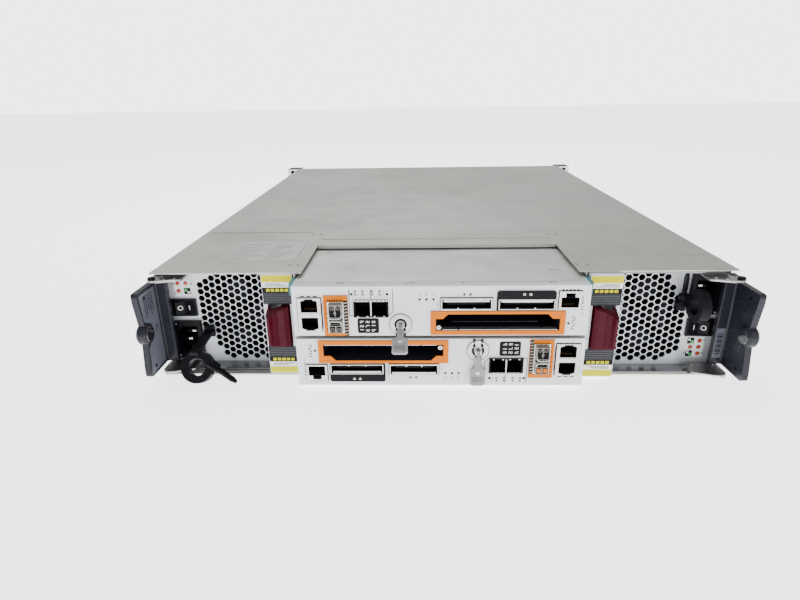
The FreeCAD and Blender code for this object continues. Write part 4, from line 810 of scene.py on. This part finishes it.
def node_lid(kit):
    """Folded lip, seams, rivets, holes drawn as dark discs of painted shade, and gaskets of the controller's
    upper sheet.
    """
    (left, y, _), (right, _, crown) = CASE
    plane = top(crown)
    width = grown((left, right), -0.4)
    lip = kit.part("lid_lip", "paint", 0.1)
    lip.bar(plane, width, (y + 0.1, y + 3.4), (-0.2, 0.28))
    lip.bar(plane, width, (y + 4.6, y + 7.4), (-0.2, 0.16))
    for back in (3.5, 7.5):
        kit.part("lid_seams", "faint").bar(plane, width, (y + back, y + back + 0.9), INKED)
    rivets = kit.part("lid_rivets", "bright")
    # Painted shade: the holes round the rivets and the loose holes are dark discs.
    holes = kit.part("lid_holes", "ink")
    for x in (-74, -71, -23, -20, 17, 80, 83):
        holes.disc(plane, (x, y + 6.0), 1.15, (0, 0.2), 14)
        rivets.disc(plane, (x, y + 6.0), 0.7, (0, 0.4), 14, 0.2)
    for x, back in ((-93, 84), (86.5, 36), (89.5, 36), (92.5, 36)):
        holes.disc(plane, (x, y + back), 0.9, (-0.2, 0.04), 12)
    for x in (left, right):
        kit.part("gaskets", "teal", 0.3).bar(flank(x), (y + 6, y + GASKET_END), (crown - 9.5, crown - 0.2),
                                             (0, 3.3))


def pull_tag(level):
    """Arrow and grip lines of the pull tag, turned about its pivot as far as the tag rests."""
    joint = JOINT[f"controller_{level}_paddle_swing"]
    pivot = Vector(JOINT["controller_upper_paddle_swing"]["pos_m"]) / MM
    swing = Matrix.Rotation(math.radians(joint["range_deg"][0]), 4, "X")
    turn = Matrix.Translation(Vector(joint["pos_m"]) / MM) @ swing @ Matrix.Translation(-pivot)
    kit = Kit(f"controller_{level}_paddle", turn)
    face = front(pivot.y - TAG_HALF)
    head, tip, grip = pivot.z - 16.2, pivot.z - 18.8, pivot.z - 20.8
    kit.part("arrow", "white").prism(
        face, [(pivot.x - 2.1, head), (pivot.x + 2.1, head), (pivot.x, tip)], (-0.1, 0.12))
    for k in range(4):
        kit.part("grip", "tag", 0.1).bar(face, about(pivot.x, 3.9), about(grip - k * 1.2, 0.3), (-0.1, 0.3))
    kit.build()


for level, place in CONTROLLERS.items():
    kit = Kit(f"controller_{level}", place)
    network_jacks(kit)
    optical_modules(kit, f"optical_{level}", level == "lower")
    optical_frame(kit)
    sfp_pair(kit)
    number_tag(kit)
    disk_ports(kit, level == "upper")
    status_lamps(kit)
    card_slot(kit)
    dish(kit)
    if level == "upper":
        node_lid(kit)
    kit.build()
    pull_tag(level)


# ---------------- power modules

ENTRY = ends("pcm_left_power_entry")
HOUSING = ends("pcm_left_latch_housing")
PANEL = front(low("pcm_left_rear_panel")[1])
STRIP = front(HOUSING[0][1])
ENTRY_FACE = ENTRY[0][1]
ROCKER_HALF, ROCKER_HORN, ROCKER_DIP = 7.2, 8.6, 6.5
LEVER_GAP = 0.5  # between the cover's side and the lever
BAND_TOP = 0.14  # height of the latch's bands
LUG_LEVEL = 38.85  # from the module's middle to the outside of its lugs
LAMP_RIM, LAMP_DOME = 1.75, 1.45
BOSS_BACK = 8.2  # the boss stands this far behind the lever's tip
WEB_FACE = 7.0  # Y of the right lever's web, which carries its label


def latch_bands(kit):
    """Coloured bands of the latch housing, with plain bars for their prints, and grip ridges."""
    u = grown((HOUSING[0][0], HOUSING[1][0]), -0.3)
    middle = mid("pcm_left_latch_housing", 2)
    printed = (0.1, BAND_TOP + PRINT)
    for sign in (1, -1):
        def span(a, b):
            return tuple(sorted((middle + sign * a, middle + sign * b)))
        for finish, a, b in (
            ("yellow", 36.0, 41.4), ("white", 31.6, 35.9), ("black", 27.4, 31.5), ("slate", 18.0, 27.3),
        ):
            kit.part("latch_band", finish).bar(STRIP, u, span(a, b), (-0.05, BAND_TOP))
        row(kit.part("latch_print", "yellow"), STRIP, u[0] + 3.0, 3.6, 5, 2.7, span(28.3, 30.6), printed)
        for k in range(3):
            a = 32.6 + k * 0.95
            width = (u[0] + 2.5, u[1] - 4.0 - 2.5 * k)
            kit.part("latch_print", "faint").bar(STRIP, width, span(a, a + 0.45), printed)
        for k in range(4):
            a = 19.6 + k * 1.9
            kit.part("latch_ridges", "faint").bar(STRIP, grown(u, -1.6), span(a, a + 0.4), printed)


def lamps(kit, fault):
    """Status lamps beside the switch, in two columns on a white field.  A black block behind a
    lamp has a white spot too.  The right module's field is a row taller, with a block at each end."""
    field = (ENTRY[0][0] + 3.6, ENTRY[1][0] - 4.6)
    foot = ENTRY[1][2] + 2.0
    head = foot + (17.0 if fault else 14.0)
    kit.part("lamp_field", "white").bar(PANEL, field, (foot, head), INKED)
    left, right = field[0] + 3.7, field[1] - 3.6
    levels = (head - 2.8, (head + foot) / 2, foot + 3.0) if fault else (head - 2.8, foot + 4.6)
    for k, z in enumerate(levels):
        blocked = k != 1 if fault else k == 1
        for x in (left, right):
            if not (blocked and x == right):
                kit.part("lamp_rims", "ink").ring(PANEL, (x, z), LAMP_RIM, LAMP_DOME, (0, 0.25), 20)
                kit.part("lamp_domes", "red").disc(PANEL, (x, z), LAMP_DOME, (0, 0.8), 20, 0.5)
                continue
            kit.part("lamp_block", "black", 0.2).bar(PANEL, (x - 2.2, x + 3.2), (z - 2.7, z + 2.5), (0, 0.3))
            kit.part("lamp_spots", "white").disc(PANEL, (x + 1.7, z - 1.1), 1.0, (0.2, 0.42))
            kit.part("lamp_domes", "green").disc(PANEL, (x - 0.6, z + 0.7), 1.4, (0.2, 0.9), 20, 0.5)
    for x, z in ((field[0] + 0.3, head - 3.2), (field[1] + 0.6, head - 3.3), (field[0] + 0.4, foot + 2.6)):
        kit.part("lamp_marks", "ink").ring(PANEL, (x, z), 0.9, 0.4, INKED, 16)


def switch_marks(side, place):
    """O and I on the rocker's two faces."""
    kit = Kit(f"pcm_{side}_rocker", place)
    joint = JOINT["pcm_left_switch_rock"]
    pivot = Vector(joint["pos_m"]) / MM
    pivot.z = mid("pcm_left_rocker", 2)
    tilt = Matrix.Rotation(math.radians(-joint["range_deg"][0] / 2), 3, "Z")

    def facet(end):
        """Plane on one half of the rocker, whose face dips towards its middle."""
        along = Vector((ROCKER_HALF, -end * (ROCKER_HORN - ROCKER_DIP), 0)).normalized()
        out = Vector((along.y, -along.x, 0))
        middle = Vector((end * ROCKER_HALF / 2, -(ROCKER_HORN + ROCKER_DIP) / 2, 0))
        return lambda u, v, d: pivot + tilt @ (middle + along * u + out * d) + Vector((0, 0, v))

    marks = kit.part("marks", "white")
    marks.ring(facet(-1), (0, 0), 2.0, 1.45, (-0.05, 0.08), 24)
    marks.bar(facet(1), (-0.3, 0.3), (-2.0, 2.0), (-0.05, 0.08))
    kit.build()


def lever_plate(kit, plane, boss_y, middle):
    """Paler plate let into the lever's inner face, with plain moulded dashes and a cross.  Its paleness is
    partly the plate's own and partly painted light of the left lever's lit face.
    """
    tip, waist, fold, gauge = boss_y - 4.6, boss_y + 7.6, 4.4, 0.18
    lower = [(tip, -32), (tip + 2.6, -10.5), (waist, -5.5)]
    upper = [(y, -v) for y, v in lower]
    points = [(fold, -32), (fold, 32), *upper, *lower[::-1]]
    kit.part("plate", "moulded", 0.1).prism(plane, rounded(
        [(y, middle + v) for y, v in points], (0.6, 0.6, 1.5, 2, 2, 2, 2, 1.5)), (-0.2, gauge))
    marks = kit.part("prints", "slate")
    raised = (0.1, gauge + PRINT)
    for i in range(5):
        y = -14.5 + i * 3.0
        for k in range(8 - i % 3):
            z = middle + 28.0 - k * 2.3
            marks.bar(plane, (y, y + 1.5), (z, z + 1.7), raised)
    for a in (-1, 1):
        marks.prism(plane, [(-3.6, middle - 2.4 * a), (-2.8, middle - 2.4 * a - 0.6),
                            (0.8, middle + 2.4 * a), (0.0, middle + 2.4 * a + 0.6)], raised)


def lever_face(side, place):
    """Plate, studs and polished boss of the corner lever, and the right one's small label.  The plate goes on
    the left lever only: the right lever, in shadow, is left dark as painted shade.
    """
    kit = Kit(f"pcm_{side}_wing", place)
    inner = -(high("top_cover")[0] + LEVER_GAP)
    middle = mid("pcm_left_wing", 2)
    boss_y = low("pcm_left_wing")[1] + BOSS_BACK

    def plane(u, v, d):
        return Vector((inner + d, u, v))

    # Painted shade: the right lever, which stands in shadow, gets no paler plate.
    if side == "left":
        lever_plate(kit, plane, boss_y, middle)
    for offset in (-28.1, 28.1):
        kit.part("studs", "black").disc(plane, (-13.0, middle + offset), 1.5, (0, 0.35), 16, 0.15)
    kit.part("boss", "gloss").disc(plane, (boss_y, middle), 6.5, (0, 2.2), 32, 1.2)
    if side == "right":
        web = front(WEB_FACE)
        kit.part("label", "moulded").bar(web, (-220.5, -214.2), (middle + 4, middle + 29), (-0.05, 0.1))
        for k in range(14):
            z = middle + 7.5 + k * 1.35
            kit.part("label", "slate").bar(web, (-219.6, -215.2), (z, z + 0.4 + 0.3 * (k % 3)), (0.05, 0.16))
    kit.build()


def lug_rivets(kit):
    """Bright rivets and rolled edges on the lugs, and the dark screws and knobs at their corners."""
    middle = mid("pcm_left_case", 2)
    for sign in (1, -1):
        def plane(u, v, d, sign=sign):
            return Vector((u, v, middle + sign * (LUG_LEVEL + d)))
        for x, y in ((-203.0, 2.0), (-209.5, -1.5), (-214.0, 6.5)):
            kit.part("lug_rivets", "bright").disc(plane, (x, y), 1.1, (-0.1, 0.45), 16, 0.25)
        kit.part("lug_screws", "dark_steel").disc(plane, (-219.6, 9.5), 2.0, (-0.1, 0.7), 20, 0.3)
        kit.part("lug_knobs", "black").disc(plane, (-219.4, -1.6), 2.8, (-0.1, 2.0), 24, 0.6)
        edge = [(-200.0, -1.2), (-206.0, -3.3), (-212.0, -5.3)] + arc((-216.6, 0.0), 5.7, 260, 180, 6)
        kit.part("lug_edges", "bright").wire([plane(u, v, -0.5) for u, v in edge], 0.75)


def panel_prints(kit):
    """Flange screws of the mains inlet, and the bright tips of its blades."""
    for z in (9.6, 38.2):
        kit.part("panel_screws", "bright").disc(
            front(ENTRY_FACE), (ENTRY[0][0] + 1.6, z), 0.9, (0, 0.3), 16, 0.15)
    near, far = OPENING["left_power_inlet"]
    middle_x, middle_z = (near.x + far.x) / 2, (near.z + far.z) / 2
    for x, z in ((2.0, -7.0), (-2.0, 0.0), (2.0, 7.0)):
        kit.part("blade_tips", "bright", 0.1).bar(
            front(ENTRY_FACE + 3.0), about(middle_x + x, 1.6), about(middle_z + z, 0.8), (0, 0.35))


for side, place in MODULES.items():
    kit = Kit(f"pcm_{side}", place)
    latch_bands(kit)
    lamps(kit, side == "right")
    lug_rivets(kit)
    panel_prints(kit)
    kit.build()
    switch_marks(side, place)
    lever_face(side, place)


# ---------------- chassis and drive side

EMBOSS = 0.6  # height of the pressed areas of the cover
COVER = top(high("top_cover")[2] - EMBOSS)
SIDE = high("chassis_base")[0]
CARRIERS = 4


def cross_screw(kit, plane, centre, radius, group):
    """Pan-head screw with a cross recess, the recess drawn as a dark cross of painted shade."""
    kit.part(group, "bright").disc(plane, centre, radius, (-0.1, 0.45), 20, 0.2)
    reach, half = radius * 0.55, radius * 0.14
    # Painted shade: the recess is a dark cross laid on the head.
    for a, b in ((reach, half), (half, reach)):
        kit.part(group, "deep").bar(plane, about(centre[0], a), about(centre[1], b), (0.4, 0.49))


COVER_SCREWS = (-108, 115), (111, 108), (-110, 17), (113.5, 15)
COVER_LABEL = (-178, -113), (28, 92)
RIVET_ROW, RIVET_LEVELS = (30, 120, 210, 300, 390, 480, 530), (6.5, 80.5)
STUD_ROW, STUD_LEVEL = (165, 345, 505), 43.5


def cover_parts(kit):
    """Screws, rings beside them and a plain clear label on the cover."""
    for x, y in COVER_SCREWS:
        cross_screw(kit, COVER, (x, y), 2.6, "cover_screws")
        kit.part("cover_marks", "ink").ring(COVER, (x - 7.0, y + 1.5), 1.7, 1.2, (-0.1, 0.05), 20)
    u, v = COVER_LABEL
    printed = (0, 0.14)
    kit.part("cover_label", "label").bar(COVER, u, v, (-0.1, 0.1))
    faint = kit.part("cover_label", "faint")
    faint.frame(COVER, grown(u, -2), grown(v, -2), 0.5, printed)
    for line in range(9):
        y = v[0] + 7 + line * 5.8
        for start, end in ((5, 22 + 5 * (line % 3)), (36, 44 + 4 * (line % 4))):
            faint.bar(COVER, (u[0] + start, u[0] + end), (y, y + 1.0), printed)


def side_parts(kit):
    """Rivets and slide-rail studs along both sides."""
    for x in (-SIDE, SIDE):
        plane = flank(x)
        for y in RIVET_ROW:
            for z in RIVET_LEVELS:
                kit.part("side_rivets", "bright").disc(plane, (y, z), 2.0, (-0.1, 0.55), 20, 0.3)
        for y in STUD_ROW:
            kit.part("side_studs", "dark_steel").disc(plane, (y, STUD_LEVEL), 3.4, (-0.1, 0.5), 28, 0.2)
            kit.part("side_studs", "bright").disc(plane, (y, STUD_LEVEL), 2.1, (-0.1, 1.4), 24, 0.4)


def drive_parts():
    """Lamps and slots of the carriers, the slots drawn as dark bars of painted shade, and the ribs and window
    of their levers.
    """
    for k in range(CARRIERS):
        near, far = ends(f"drive_carrier_{k}")
        kit = Kit(f"carrier_{k}")
        plane = rear(far[1])
        z = near[2] + 7.0
        for x, finish in zip(about((near[0] + far[0]) / 2, 2.6), ("green", "clear")):
            kit.part("lamp_rims", "ink").ring(plane, (x, z), 1.6, 1.2, (-0.1, 0.25), 18)
            kit.part("lamps", finish).disc(plane, (x, z), 1.2, (-0.1, 0.5), 18, 0.25)
        width = (near[0] + 3.0, far[0] - 3.0)
        # Painted shade: the vent slots are dark bars, not cut.
        column(kit.part("vents", "deep"), plane, width, far[2] - 8.5, 1.7, 4, 0.8, (-0.1, PRINT))
        kit.build()
        near, far = ends(f"carrier_lever_{k}")
        kit = Kit(f"carrier_{k}_lever")
        plane = rear(far[1])
        width = (near[0] + 2.5, far[0] - 2.5)
        column(kit.part("ribs", "faint"), plane, width, far[2] - 6.0, -1.9, 6, 0.7, (-0.3, -0.05))
        width = (near[0] + 3.0, far[0] - 3.0)
        kit.part("window", "bezel", 0.2).bar(plane, width, (near[2] + 8, near[2] + 26), (-0.3, -0.02))
        kit.build()


kit = Kit("chassis")
cover_parts(kit)
side_parts(kit)
kit.build()
drive_parts()


# ---------------- stage, light and camera

FLOOR_REACH = 6.0
FLOOR_GLOW = 2.5  # keeps the floor near white
SKY = 0.7  # strength of the surround as a light
SKY_SEEN = 5.0  # and as the backdrop
LAMPS = {  # place, target, size and power, in metres and watts
    "key": ((-0.25, 0.85, 1.2), (0, 0.45, 0.05), (1.2, 0.8), 11),
    "fill": ((1.0, -1.1, 0.8), (0, 0, 0.04), (1.0, 1.0), 4),
    "front": ((0.0, -1.8, 0.45), (0, 0, 0.04), (1.6, 0.7), 6),
}
CAMERA_PLACE = Vector((-15.4, -396.2, 217.1)) * MM
CAMERA_PITCH, CAMERA_YAW, CAMERA_ROLL = 0.367, -0.036, 0.017  # radians
CAMERA_LENS, CAMERA_SENSOR = 24.95, 36  # millimetres


def area_light(name, place, target, size, power):
    """Rectangular lamp at place that faces target."""
    data = bpy.data.lights.new(name, "AREA")
    data.shape = "RECTANGLE"
    data.size, data.size_y = size
    data.energy = power
    lamp = placed(name, data)
    lamp.location = place
    lamp.rotation_euler = (Vector(target) - Vector(place)).to_track_quat("-Z", "Y").to_euler()


def ground():
    """Pale floor that the shelf stands on."""
    mesh = bpy.data.meshes.new("floor")
    square = corners((-FLOOR_REACH, FLOOR_REACH), (-FLOOR_REACH, FLOOR_REACH))
    mesh.from_pydata([(*point, 0) for point in square], [], [(0, 1, 2, 3)])
    floor = placed("floor", mesh)
    g = Graph("floor_white")
    g.put("Base Color", g.mix(g.noise(400, 2.0), (0.93, 0.93, 0.93), (0.96, 0.96, 0.96)))
    g.put("Roughness", 0.55)
    g.put("Emission Color", (1.0, 1.0, 1.0))
    g.put("Emission Strength", FLOOR_GLOW)
    mesh.materials.append(g.material)


def surround():
    """Soft light from all round, which the camera sees as a bright backdrop."""
    world = bpy.data.worlds.new("studio")
    world.use_nodes = True
    tree = world.node_tree
    light = tree.nodes["Background"]
    light.inputs["Color"].default_value = (1, 1, 1, 1)
    light.inputs["Strength"].default_value = SKY
    seen = tree.nodes.new("ShaderNodeBackground")
    seen.inputs["Strength"].default_value = SKY_SEEN
    ray = tree.nodes.new("ShaderNodeLightPath")
    choose = tree.nodes.new("ShaderNodeMixShader")
    sources = (ray.outputs["Is Camera Ray"], light.outputs[0], seen.outputs[0])
    for slot, source in enumerate(sources):
        tree.links.new(source, choose.inputs[slot])
    tree.links.new(choose.outputs[0], tree.nodes["World Output"].inputs["Surface"])
    bpy.context.scene.world = world


def camera():
    """The photographer's view: just left of the middle, looking down at the connector side."""
    data = bpy.data.cameras.new("camera")
    data.sensor_width = CAMERA_SENSOR
    data.lens = CAMERA_LENS
    eye = placed("camera", data)
    pitch, yaw, roll = CAMERA_PITCH, CAMERA_YAW, CAMERA_ROLL
    ahead = Vector((math.sin(yaw) * math.cos(pitch), math.cos(yaw) * math.cos(pitch), -math.sin(pitch)))
    side = Vector((math.cos(yaw), -math.sin(yaw), 0))
    over = Vector((math.sin(yaw) * math.sin(pitch), math.cos(yaw) * math.sin(pitch), math.cos(pitch)))
    right = side * math.cos(roll) - over * math.sin(roll)
    up = side * math.sin(roll) + over * math.cos(roll)
    turn = Matrix((right, up, -ahead)).transposed().to_4x4()
    eye.matrix_world = Matrix.Translation(CAMERA_PLACE) @ turn
    bpy.context.scene.camera = eye


ground()
surround()
for name, settings in LAMPS.items():
    area_light(name, *settings)
camera()
